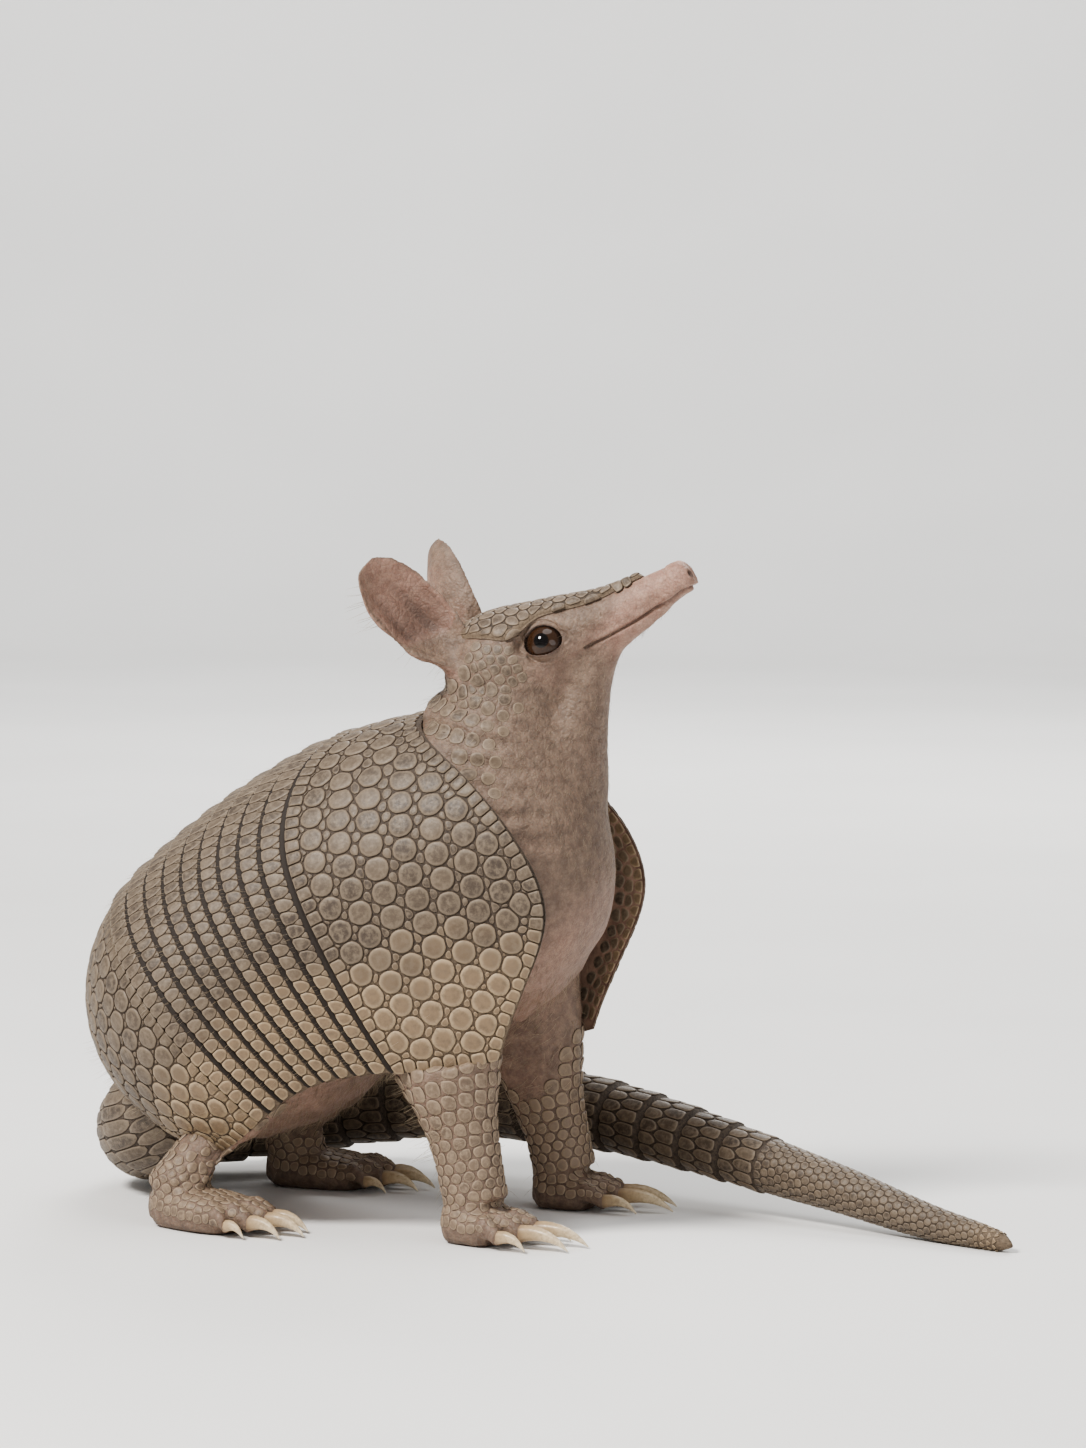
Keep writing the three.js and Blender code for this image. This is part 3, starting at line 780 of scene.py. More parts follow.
def fade(node, value, low, high, top=1.0):
    """From 0 at low to top at high."""
    return ramp(node, value, (low, (0, 0, 0)), (high, (top,) * 3))


def varied(node, value, noise_value, amount):
    """A value made uneven by a noise of about a half."""
    return maths(node, "ADD", value,
                 maths(node, "MULTIPLY", maths(node, "SUBTRACT", noise_value, 0.5), amount))


def mix(node, factor, a, b):
    made = node("ShaderNodeMix", data_type="RGBA")
    for key, value in ((0, factor), (6, a), (7, b)):
        if isinstance(value, bpy.types.NodeSocket):
            made.id_data.links.new(value, made.inputs[key])
        elif key:
            made.inputs[key].default_value = (*value, 1)
        else:
            made.inputs[key].default_value = value
    return made.outputs[2]


def noise_of(node, scale, detail=3.0, rough=0.55):
    where = node("ShaderNodeTexCoord").outputs["Object"]
    return node("ShaderNodeTexNoise", inputs={"Vector": where, "Scale": scale, "Detail": detail,
                                              "Roughness": rough}).outputs["Fac"]


def bump(node, links, shader, *layers):
    """Layers of (height, strength, distance in metres)."""
    last = None
    for height, strength, distance in layers:
        made = node("ShaderNodeBump", inputs={"Height": height, "Strength": strength, "Distance": distance})
        if last:
            links.new(last, made.inputs["Normal"])
        last = made.outputs[0]
    links.new(last, shader.inputs["Normal"])


SCUTE_ROUGH = (0.42, 0.68)       # from the polished horn to the worn


def scute_look(centre, middle, edge, side_centre, side_edge):
    def build(node, links, shader):
        rim, cell, low = (attribute(node, k) for k in ("rim", "cell", "low"))
        large = noise_of(node, 30, 3)
        fine = noise_of(node, 420, 5, 0.65)
        worn = noise_of(node, 1500, 3, 0.7)
        body = mix(node, fade(node, cell, 0.1, 0.9), centre, middle)
        body = mix(node, fade(node, fine, 0.36, 0.72, 0.75), body, edge)
        rimmed = mix(node, fade(node, rim, 0.62, 0.97, 0.85), body, edge)
        side = mix(node, fade(node, rim, 0.5, 0.95), side_centre, side_edge)
        side = mix(node, fade(node, fine, 0.4, 0.75, 0.6), side, middle)
        shade = varied(node, low, large, 0.55)
        colour = mix(node, fade(node, shade, 0.42, 0.85), rimmed, side)
        # painted shade on each scute's sides, deepest at its foot in the gap between scutes
        scute_foot_shade = fade(node, rim, 0.985, 1.0)
        colour = mix(node, scute_foot_shade, colour, (0.06, 0.042, 0.03))
        links.new(colour, shader.inputs["Base Color"])
        links.new(ramp(node, worn, (0.3, (SCUTE_ROUGH[0],) * 3), (0.75, (SCUTE_ROUGH[1],) * 3)),
                  shader.inputs["Roughness"])
        shader.inputs["Specular IOR Level"].default_value = 0.42
        bump(node, links, shader, (fine, 0.35, 0.0006), (worn, 0.25, 0.00022))
    return build


ARMOUR = material("armour_scute", scute_look(
    (0.058, 0.042, 0.031), (0.108, 0.080, 0.056), (0.205, 0.160, 0.115), (0.215, 0.150, 0.092),
                                             (0.370, 0.280, 0.180)))
CROWN = material("crown_scute", scute_look(
    (0.070, 0.050, 0.036), (0.125, 0.091, 0.064), (0.235, 0.180, 0.130), (0.200, 0.146, 0.100),
                                           (0.320, 0.245, 0.172)))
LEG_SCALE = material("leg_scale", scute_look(
    (0.120, 0.085, 0.061), (0.180, 0.130, 0.091), (0.305, 0.232, 0.163), (0.230, 0.166, 0.118),
                                             (0.355, 0.272, 0.192)))


def seam_look(node, links, shader):
    large, fine = noise_of(node, 45, 3), noise_of(node, 900, 4, 0.7)
    low = attribute(node, "low")
    # the seams' dark colour is painted shade in the gaps between the scutes
    colour = mix(node, fade(node, fine, 0.3, 0.7), (0.034, 0.024, 0.018), (0.088, 0.064, 0.045))
    pale = mix(node, fade(node, fine, 0.3, 0.7), (0.086, 0.060, 0.040), (0.185, 0.135, 0.090))
    shade = varied(node, low, large, 0.4)
    colour = mix(node, fade(node, shade, 0.4, 0.9), colour, pale)
    # the strip of folded skin ahead of each band's scutes, coloured darker still as painted shadow of the
    # band ahead, whose raised rear edge overhangs it
    colour = mix(node, attribute(node, "fold"), colour, (0.022, 0.015, 0.011))
    lining = mix(node, fade(node, noise_of(node, 130, 5, 0.65), 0.32, 0.68), (0.165, 0.100, 0.073),
                 (0.315, 0.205, 0.152))
    colour = mix(node, fade(node, attribute(node, "under"), 0.55, 1.0), colour, lining)
    links.new(colour, shader.inputs["Base Color"])
    shader.inputs["Roughness"].default_value = 0.78
    bump(node, links, shader, (fine, 0.5, 0.0004), (large, 0.4, 0.0012))


SEAM = material("armour_seam", seam_look)


def skin_look(node, links, shader):
    pink, dark = attribute(node, "pink"), attribute(node, "dark")
    where = node("ShaderNodeTexCoord").outputs["Object"]
    large, mid, fine = noise_of(node, 38, 4), noise_of(node, 240, 4, 0.6), noise_of(node, 1100, 4, 0.65)
    grain = node("ShaderNodeTexVoronoi", feature="DISTANCE_TO_EDGE",
                 inputs={"Vector": where, "Scale": 620.0}).outputs["Distance"]
    coarse = node("ShaderNodeTexVoronoi", feature="DISTANCE_TO_EDGE",
                  inputs={"Vector": where, "Scale": 260.0}).outputs["Distance"]
    grey = mix(node, fade(node, mid, 0.3, 0.7), (0.128, 0.088, 0.066), (0.215, 0.152, 0.112))
    rosy = mix(node, fade(node, mid, 0.3, 0.7), (0.285, 0.168, 0.128), (0.385, 0.245, 0.188))
    blend = varied(node, pink, large, 0.45)
    colour = mix(node, fade(node, blend, 0.15, 0.85), grey, rosy)
    # painted shade along the skin's fine creases, the grooves that the bump below carves
    crease_shade = ramp(node, grain, (0.0, (1, 1, 1)), (0.09, (0, 0, 0)))
    colour = mix(node, maths(node, "MULTIPLY", crease_shade, 0.38), colour, (0.12, 0.075, 0.055))
    # dark marks: the lids' edges, the tear corners and the soles a little darker, and painted shade in the
    # nostrils, the mouth's slit and the ears' hollows
    colour = mix(node, maths(node, "MULTIPLY", dark, 0.85, True), colour, (0.07, 0.045, 0.036))
    links.new(colour, shader.inputs["Base Color"])
    links.new(ramp(node, fine, (0.3, (0.5,) * 3), (0.75, (0.72,) * 3)), shader.inputs["Roughness"])
    shader.inputs["Specular IOR Level"].default_value = 0.4
    shader.inputs["Subsurface Weight"].default_value = 0.12
    shader.inputs["Subsurface Scale"].default_value = 0.002
    shader.inputs["Subsurface Radius"].default_value = (1.0, 0.35, 0.2)
    bump(node, links, shader, (fade(node, coarse, 0.0, 0.25), 0.3, 0.0006),
         (fade(node, grain, 0.0, 0.3), 0.35, 0.0003), (fine, 0.3, 0.0002))


SKIN = material("skin", skin_look)


def claw_look(node, links, shader):
    along = attribute(node, "along")
    streak = noise_of(node, 700, 4, 0.6)
    colour = ramp(node, along, (0.0, (0.22, 0.145, 0.09)), (0.18, (0.42, 0.31, 0.19)),
                  (0.65, (0.60, 0.49, 0.33)), (1.0, (0.70, 0.61, 0.46)))
    colour = mix(node, fade(node, streak, 0.35, 0.75, 0.7), colour, (0.30, 0.215, 0.135))
    links.new(colour, shader.inputs["Base Color"])
    links.new(ramp(node, streak, (0.3, (0.28,) * 3), (0.8, (0.5,) * 3)), shader.inputs["Roughness"])
    shader.inputs["Specular IOR Level"].default_value = 0.5
    bump(node, links, shader, (streak, 0.35, 0.00025))


CLAW = material("claw_horn", claw_look)


def eye_look(node, links, shader):
    off = attribute(node, "off")
    fibre = noise_of(node, 1400, 3)
    iris = mix(node, fibre, (0.020, 0.009, 0.005), (0.052, 0.024, 0.011))
    colour = mix(node, fade(node, off, 0.26, 0.33), (0.003, 0.002, 0.002), iris)
    colour = mix(node, fade(node, off, 0.62, 0.78), colour, (0.016, 0.009, 0.007))
    links.new(colour, shader.inputs["Base Color"])
    shader.inputs["Roughness"].default_value = 0.05
    shader.inputs["Specular IOR Level"].default_value = 0.42


EYE = material("eye_wet", eye_look)


def hair_look(node, links, shader):
    cell = attribute(node, "cell")
    links.new(ramp(node, cell, (0.0, (0.17, 0.125, 0.085)), (1.0, (0.40, 0.32, 0.22))),
              shader.inputs["Base Color"])
    shader.inputs["Roughness"].default_value = 0.5


HAIR = material("hair", hair_look)


# ---------------------------------------------------------------- the skin


def trunk_surface(t, angle, offset=0.0):
    less = THICK + CLEARANCE - offset
    rear = HIP - (RUMP - less) * math.pi / 2
    b = body_at(lerp(rear, SHOULDER + CHEST * math.pi / 2, t), less, True)
    below = np.cos(angle) < 0
    y = -b["width"] * np.where(below, powered(np.sin(angle), 0.78), np.sin(angle))
    z = np.where(below, (b["belly"] + offset) * powered(np.cos(angle), 0.78), b["height"] * np.cos(angle))
    p = b["origin"] + b["up"] * z[..., None]
    p[..., 1] += y
    return p


neck_width = profile([(0, 58), (0.55, 42), (1, 21)])
neck_height = profile([(0, 60), (0.55, 45), (1, 22)])
NECK_BASE = axis_at(152.0)[0] + np.array([0, 0, -8.0])
NECK = [NECK_BASE, NECK_BASE + np.array([30, 0, 16.0]), in_head([-8, 0, -20]), in_head([31, 0, -8])]


def neck_surface(t, angle, offset=0.0):
    a, b, c, d = NECK
    k = t[..., None]
    at = a * (1 - k) ** 3 + 3 * b * k * (1 - k) ** 2 + 3 * c * k * k * (1 - k) + d * k ** 3
    forward = unit((b - a) * (1 - k) ** 2 + 2 * (c - b) * k * (1 - k) + (d - c) * k * k)
    side = unit(np.cross(np.array([0.0, 0, 1]), forward))
    up = np.cross(forward, side)
    return (at - side * ((neck_width(t) + offset) * np.sin(angle))[..., None]
            + up * ((neck_height(t) + offset) * np.cos(angle))[..., None])


def jaw_surface(t, angle):
    x = lerp(26, 99, t)
    close = np.where(t > 0.93, np.sqrt(np.maximum(0.12, 1 - ((t - 0.93) / 0.08) ** 2)), 1)
    z = -4 + np.where(np.cos(angle) > 0, 3, jaw_bottom(x) - 4) * np.cos(angle) * close
    return in_head(np.stack([x, -close * jaw_width(x) * np.sin(angle), z], -1))


ear_width = profile([(0, 0.5), (0.42, 1), (0.7, 0.9), (0.88, 0.64), (1, 0.24)])
ear_curl = profile([(0, 120), (0.4, 68), (0.7, 52), (0.88, 38), (1, 16)])


def turned(x, y, z, *turns):
    """Places turned about one axis after another."""
    for axis, spin in turns:
        c, s = math.cos(spin), math.sin(spin)
        if axis == "z":
            x, y = x * c - y * s, x * s + y * c
        elif axis == "x":
            y, z = y * c - z * s, y * s + z * c
        else:
            x, z = x * c + z * s, -x * s + z * c
    return x, y, z


def leaf_middle(side):
    return in_head([EAR_AT[0] - 12, side * (EAR_AT[1] + 18), EAR_AT[2] + 34])


def ear_place(side, p, q, out):
    """The ear's leaf: p from root to tip, q across it, out from the middle of its thickness."""
    half = np.radians(ear_curl(p))
    curl = half * (1 - 2 * q)
    radius = 1.15 * EAR_HALF * ear_width(p) / half + out
    x = -radius * np.cos(curl) + EAR_HALF * 0.5
    y = -radius * np.sin(curl)
    z = -7 + p * (EAR_LENGTH + 7)
    x, y, z = turned(x, y, z, ("z", 0.75 * side), ("x", -side * EAR_SPLAY), ("y", -EAR_LEAN[side]))
    return in_head(np.stack([EAR_AT[0] + x, side * EAR_AT[1] + y, EAR_AT[2] + z], -1))


EAR_SWELL = 1.9         # the leaf is made this much too thick, and thinned once it is part of the skin


def ear_loft(side):
    """A closed leaf with a rounded rim and tip."""
    def place(t, angle):
        p = 1 - (1 - t) ** 1.4
        # round its section: cos runs across the leaf, sin through its thickness
        q = 0.5 + 0.5 * powered(np.cos(angle), 0.9)
        thick = EAR_SWELL * (EAR_THICK * 0.5 - 0.1) * lerp(1.25, 0.8, p) * np.clip((1.0 - p) / 0.02, 0.5, 1)
        return ear_place(side, np.minimum(p, 0.985), q, thick * powered(np.sin(angle), 0.45))
    return loft(place, np.linspace(0, 1, 60), 64)


def foot_parts(leg, side):
    foot = leg["foot"]

    def pad(t, angle):
        close = np.sqrt(np.maximum(0.3, 1 - np.maximum(0, np.abs(t - 0.5) * 2 - 0.55) ** 2 / 0.22))
        high = lerp(foot["rear_height"], foot["front_height"], t) / 1.74
        wide = lerp(foot["rear_width"], foot["front_width"], smoothstep(t, 0, 0.7))
        return on_foot(foot, side, lerp(foot["rear"], foot["front"], t),
                       close * wide * powered(np.sin(angle), 0.8),
                       np.maximum(0, high * (0.74 + close * powered(np.cos(angle), 0.8))))
    parts = [loft(pad, np.linspace(0, 1, 26), 40)]
    for y, reach, radius, _ in leg["toes"]:
        def toe(t, angle):
            x = foot["front"] + lerp(-10, reach, t)
            # two joints swell along it, and it rounds off where the claw leaves it
            thick = radius * (1 + 0.06 * np.cos(t * 4 * math.pi)) * np.sqrt(
                np.maximum(0.35, 1 - np.maximum(0, t - 0.84) ** 2 / 0.036))
            z = lerp(8, radius, t) + 2.6 * np.sin(math.pi * t)
            return on_foot(foot, side, x, fan(foot, (y,), x) + 0.82 * thick * np.sin(angle),
                           np.maximum(0, z + thick * np.cos(angle)))
        parts.append(loft(toe, np.linspace(0, 1, 24), 20))
    return parts


THROAT = [in_head(p) for p in ([76, 0, -13.5], [50, 0, -28], [32, 0, -80])]


def throat_surface(t, angle):
    """The loose skin that rounds off the corner from the jaw to the neck."""
    a, b, c = THROAT
    k = t[..., None]
    forward = unit((b - a) * (1 - k) + (c - b) * k)
    side = unit(np.array([0.0, 1, 0]) - forward * forward[..., 1:2])
    out = np.cross(forward, side)
    deep, wide = lerp(5, 15, t), lerp(6, 24, t)
    close = 1 - np.maximum(0, np.abs(2 * t - 1) - 0.6) ** 2 * 2.4
    return (a * (1 - k) ** 2 + 2 * b * k * (1 - k) + c * k * k
            + out * (deep * (close * np.cos(angle) - 1))[..., None]
            + side * (wide * close * np.sin(angle))[..., None])


SKIN_VOXEL = 1.15
SKIN_FACES = 190000
HEAD_ABOVE = 150        # nothing but the head and the ears is higher up


def flesh():
    parts = [loft(trunk_surface, np.linspace(0, 1, 120), 110),
             loft(neck_surface, np.linspace(0, 1, 40), 90),
             loft(lambda t, a: head_surface(np.interp(t, [0, 0.9, 1], [0, 107, HEAD_LENGTH - 0.15]), a),
                  np.linspace(0, 1, 100), 72),
             loft(jaw_surface, np.linspace(0, 1, 40), 48)]
    parts += [ear_loft(1), ear_loft(-1), loft(throat_surface, np.linspace(0, 1, 30), 40)]
    for _, leg, side in LEGS:
        parts.append(loft(lambda t, a: limb_surface(leg, side, t, a), np.linspace(0, 1, 60), 48))
        parts += foot_parts(leg, side)
    return parts


def remeshed(parts, voxel):
    """The parts as one closed surface of small faces."""
    obj = make("work", *joined(parts), SKIN)
    modifier = obj.modifiers.new("Remesh", "REMESH")
    modifier.mode = "VOXEL"
    modifier.voxel_size = voxel * 0.001
    mesh = bpy.data.meshes.new_from_object(obj.evaluated_get(bpy.context.evaluated_depsgraph_get()))
    bpy.data.objects.remove(obj)
    return mesh


def read(items, key, width, kind=np.float32):
    """One array of a mesh's values, width to a row."""
    flat = np.empty(len(items) * width, kind)
    items.foreach_get(key, flat)
    return flat.reshape(-1, width)


def points_of(mesh):
    return read(mesh.vertices, "co", 3).astype(float) * 1000 - SHIFT


def set_points(mesh, points):
    mesh.vertices.foreach_set("co", row(points).astype(np.float32).ravel())
    mesh.update()


def edges_of(mesh):
    return read(mesh.edges, "vertices", 2, np.int32)


def point_normals(mesh):
    return read(mesh.vertices, "normal", 3).astype(float)


def pull(points, edges, count):
    """From each point to the middle of its neighbours."""
    n = len(points)
    total = np.stack([np.bincount(edges[:, 0], points[edges[:, 1], k], n)
                      + np.bincount(edges[:, 1], points[edges[:, 0], k], n) for k in range(3)], -1)
    return total / count[:, None] - points


def eased(points, edges, weight, times, normals=None):
    """Points eased towards their neighbours; with normals, only where the surface is hollow."""
    count = np.maximum(1, np.bincount(edges.ravel(), minlength=len(points)))
    for _ in range(times):
        step = pull(points, edges, count)
        w = weight
        if normals is not None:
            w = weight * smoothstep((step * normals).sum(-1), -0.01, 0.05)
        points = points + step * w[:, None]
    return points


EYE_OPEN = 8.3      # half the length of the opening between the lids


def eye_frame(side):
    """The eye's middle, and the directions out of its opening, along it and up it."""
    out = unit(np.array([0.16, side * 0.95, 0.26]))
    along = unit(np.array([1.0, 0, -0.10]) - out * (np.array([1.0, 0, -0.10]) @ out))
    up = unit(np.cross(along, out) * side * -1)
    if up[2] < 0:
        up = -up
    return EYE_AT * [1, side, 1], out, along, up


MOUTH = [(107.5, -4.6), (98, -5.4), (84, -6.6), (70, -7.6), (60, -7.4)]


def mouth_gap(h):
    """How far each point of the head is from the line of the mouth, and how near its corner."""
    x = h[:, 0]
    xs = np.array([p[0] for p in MOUTH])[::-1]
    zs = np.array([p[1] for p in MOUTH])[::-1]
    z = np.interp(x, xs, zs)
    past = np.maximum(0, xs[0] - x)
    return np.hypot(h[:, 2] - z, past), h[:, 2] - z


def refine(mesh, near, times):
    """Splits the faces round the points that near picks, times over."""
    for _ in range(times):
        pick = near(points_of(mesh))
        bm = bmesh.new()
        bm.from_mesh(mesh)
        bm.verts.ensure_lookup_table()
        chosen = set(np.flatnonzero(pick).tolist())
        edges = [e for e in bm.edges if e.verts[0].index in chosen and e.verts[1].index in chosen]
        bmesh.ops.subdivide_edges(bm, edges=edges, cuts=1, use_grid_fill=True)
        bmesh.ops.triangulate(bm, faces=[f for f in bm.faces if len(f.verts) > 4])
        bm.to_mesh(mesh)
        bm.free()
        mesh.update()


def face_details(p):
    """Where the head needs finer faces."""
    h = to_head(p)
    pick = (h[:, 0] > 100) & (np.abs(h[:, 1]) < 12)
    for side in (1, -1):
        pick |= np.linalg.norm(h - (EYE_AT + [0, 2, 0]) * [1, side, 1], axis=1) < 14.5
    return pick | ((h[:, 0] > 56) & (mouth_gap(h)[0] < 2.6) & (np.abs(h[:, 1]) < 16))


def carve_head(p, n):
    """Eyelids, mouth, nostrils and the folds of the face."""
    h = to_head(p)
    hn = n @ HEAD_TURN
    face = (h[:, 0] > -6) & (h[:, 0] < HEAD_LENGTH + 4) & (np.abs(h[:, 1]) < 32) & (np.abs(h[:, 2]) < 34)

    # mouth: a slit with soft lips either side
    gap, above = mouth_gap(h)
    inside = face & (h[:, 0] > 56) & (np.abs(h[:, 1]) < 17)
    slit = np.exp(-(gap / 0.62) ** 2) * inside
    lips = (np.exp(-((above - 1.5) / 1.1) ** 2)
            + 0.8 * np.exp(-((above + 1.6) / 1.2) ** 2)) * inside * smoothstep(h[:, 0], 58, 66)
    # it runs round under the nose
    h += hn * (0.42 * lips * np.exp(-(np.maximum(0, gap - 3) / 1.5) ** 2) - 1.15 * slit)[:, None]

    # nose pad, its rim and the two nostrils
    tip = smoothstep(h[:, 0], 102.5, 105.5) * face
    rim = np.exp(-((h[:, 0] - 104.6) / 0.8) ** 2) * face * (h[:, 2] > -3.5)
    h += hn * (0.45 * tip * (h[:, 2] > -3.5) - 0.38 * rim)[:, None]
    for side in (1, -1):
        d = h - [111.9, side * 3.5, 0.9]
        r = np.hypot(np.hypot(d[:, 0], d[:, 1] * 1.25), d[:, 2] * 0.92)
        hole = smoothstep(-r, -2.5, -1.35) * face
        brim = np.exp(-((r - 2.9) / 0.6) ** 2) * face
        h += np.array([-3.6, -0.5 * side, 0]) * hole[:, None] + hn * (0.28 * brim)[:, None]
    groove = np.exp(-(h[:, 1] / 0.5) ** 2) * smoothstep(h[:, 0], 108, 111) * (h[:, 2] < 4) * face
    h += hn * (-0.5 * groove)[:, None]

    dark = np.zeros(len(p))
    for side in (1, -1):
        centre, out, along, up = eye_frame(side)
        d = h - centre
        o, a, u = d @ out, d @ along, d @ up
        front = smoothstep(o, 0.2, 3.0) * face * (np.linalg.norm(d, axis=1) < 18)
        # the opening is an almond, lower at its front corner
        line = u - 0.3 * np.cos(a / EYE_OPEN * 1.4) + 0.05 * a
        span = np.sqrt(np.clip(1 - (a / EYE_OPEN) ** 2, 0, 1))
        top, bottom = 7.1 * span ** 1.05, 6.4 * span ** 1.05
        edge = np.where(line > 0, line - top, -line - bottom)
        edge = np.where(np.abs(a) > EYE_OPEN, np.hypot(np.abs(a) - EYE_OPEN, line), edge)
        rr = np.sqrt(a * a + u * u)
        ball = np.sqrt(np.maximum(4.2 ** 2, (EYE_RADIUS + 0.25) ** 2 - rr ** 2))
        # the lid: follows the ball, then falls away to the cheek
        thick = 0.85 + 0.35 * np.exp(-((edge - 0.9) / 0.8) ** 2)
        lid_at = ball + thick
        blend = 1 - smoothstep(edge, 1.6, 5.2)
        lifted = np.where(edge > 0, lerp(o, lid_at, blend), o)
        crease = np.exp(-((edge - 2.6) / 0.55) ** 2) + 0.6 * np.exp(-((edge - 4.3) / 0.6) ** 2)
        lifted -= 0.42 * crease
        inner = EYE_RADIUS - 2.4
        target = np.where(edge < 0, np.minimum(o, np.sqrt(np.maximum(0, inner ** 2 - rr ** 2))), lifted)
        h += out * ((target - o) * front)[:, None]
        dark = np.maximum(dark, np.exp(-(np.maximum(0, edge) / 0.9) ** 2) * front)
        # tear corner
        dark = np.maximum(dark, 0.7 * np.exp(-((a - EYE_OPEN - 0.6) ** 2 + (u + 0.4) ** 2) / 1.6) * front)
    # painted shade inside the nostrils
    for side in (1, -1):
        d = h - [110.5, side * 3.4, 0.9]
        dark = np.maximum(dark, smoothstep(-np.hypot(d[:, 1] * 1.2, d[:, 2]), -2.3, -1.3) * (h[:, 0] > 105)
                          * face)
    # painted shade in the mouth's slit
    dark = np.maximum(dark, 0.75 * slit)
    # folds behind the mouth's corner, on the cheek and under the throat
    cheek = face * smoothstep(h[:, 0], 60, 50) * smoothstep(h[:, 0], 20, 30) * (h[:, 2] < 2)
    folds = np.sin((h[:, 0] + 0.35 * h[:, 2]) / 1.35 + 1.3 * noise(p, 9, 3))
    h += hn * (0.16 * cheek * folds)[:, None]
    moved = np.where(face[:, None], in_head(h), p)
    return moved, dark


def thinned_ears(p):
    """The ears' leaves brought from the thickness they were made with to their own."""
    h = to_head(p)
    for side in (1, -1):
        here = leaf_mask(p) * (h[:, 1] * side > 0)
        i = np.flatnonzero(here > 0)
        along, across, depth = in_ear(p[i], side)
        thin = ear_place(side, along, (1 - across) / 2, -depth / EAR_SWELL)
        p[i] = lerp(p[i], thin, here[i][:, None])
    return p


def armour_tree():
    """The carapace's outer face between its margins, and which of its faces lie along them."""
    v = np.linspace(-1, 1, 181)
    part, across = np.meshgrid(np.linspace(0, 1, 160), v, indexing="ij")
    points = carapace(lerp(pelvic_rear(across), scapular_front(across), part), across)
    faces = grid_faces(160, 181, False)
    i, j = np.divmod(np.arange(len(faces)), 180)
    return BVHTree.FromPolygons(points.reshape(-1, 3).tolist(),
                                faces.tolist()), (i == 0) | (i == 158) | (j == 0) | (j == 179)


def over_armour(p):
    """Whether the carapace lies over each point, how far outside its face that is, and the way out."""
    over, height, out = np.zeros(len(p), bool), np.full(len(p), -99.0), np.zeros((len(p), 3))
    centre = axis_at(np.clip((REAR_PITCH - np.arctan2(AXIS_CENTRE[0] - p[:, 0], p[:, 2] - AXIS_CENTRE[2]))
                             * AXIS_RADIUS, -40, 200))[0]
    for i in np.flatnonzero(p[:, 2] > 18):
        at, n, face, _ = ARMOUR_TREE.find_nearest(Vector(p[i]), 22)
        if at is None:
            continue
        at, n = np.array(at), np.array(n)
        if n @ (at - centre[i]) < 0:
            n = -n
        d = float((p[i] - at) @ n)
        over[i] = np.linalg.norm(p[i] - at - d * n) < 0.7 and not ARMOUR_EDGE[face]
        height[i], out[i] = d, n
    return over, height, out


def under_armour(p):
    """The skin drawn in where it would come through the plates."""
    over, height, out = over_armour(p)
    excess = np.where(over, np.maximum(0, height + THICK + 0.8), 0)
    return p - out * excess[:, None]


def leg_tops(p):
    """Where the legs come out from under the carapace."""
    mask = np.zeros(len(p))
    for _, leg, side in LEGS:
        stations = np.array(leg["stations"], float)
        axis = [np.interp(p[:, 2], stations[::-1, 2], stations[::-1, k]) for k in (0, 1)]
        near = 1 - smoothstep(np.hypot(p[:, 0] - axis[0], p[:, 1] - side * axis[1]), 30, 42)
        mask = np.maximum(mask, near * smoothstep(p[:, 2], 21, 29) * (1 - smoothstep(p[:, 2], 52, 64)))
    return mask


def proud(p):
    """The legs' tops that stand outside the carapace's edge."""
    here = np.flatnonzero(leg_tops(p) > 0)
    out = np.zeros(len(p), bool)
    out[here] = over_armour(p[here])[1] > 0.3
    return out


def in_ear(p, side):
    """Places in an ear's leaf: along it, across it from -1 to 1, and how far inside its cup's sheet."""
    q = to_head(p) - [EAR_AT[0], side * EAR_AT[1], EAR_AT[2]]
    x, y, z = turned(*q.T, ("y", EAR_LEAN[side]), ("x", side * EAR_SPLAY), ("z", -0.75 * side))
    along = (z + 7) / (EAR_LENGTH + 7)
    half = np.radians(ear_curl(along))
    x = x - EAR_HALF * 0.5
    radius = np.hypot(x, y)
    return along, np.arctan2(-y, -x) / half, 1.15 * EAR_HALF * ear_width(along) / half - radius


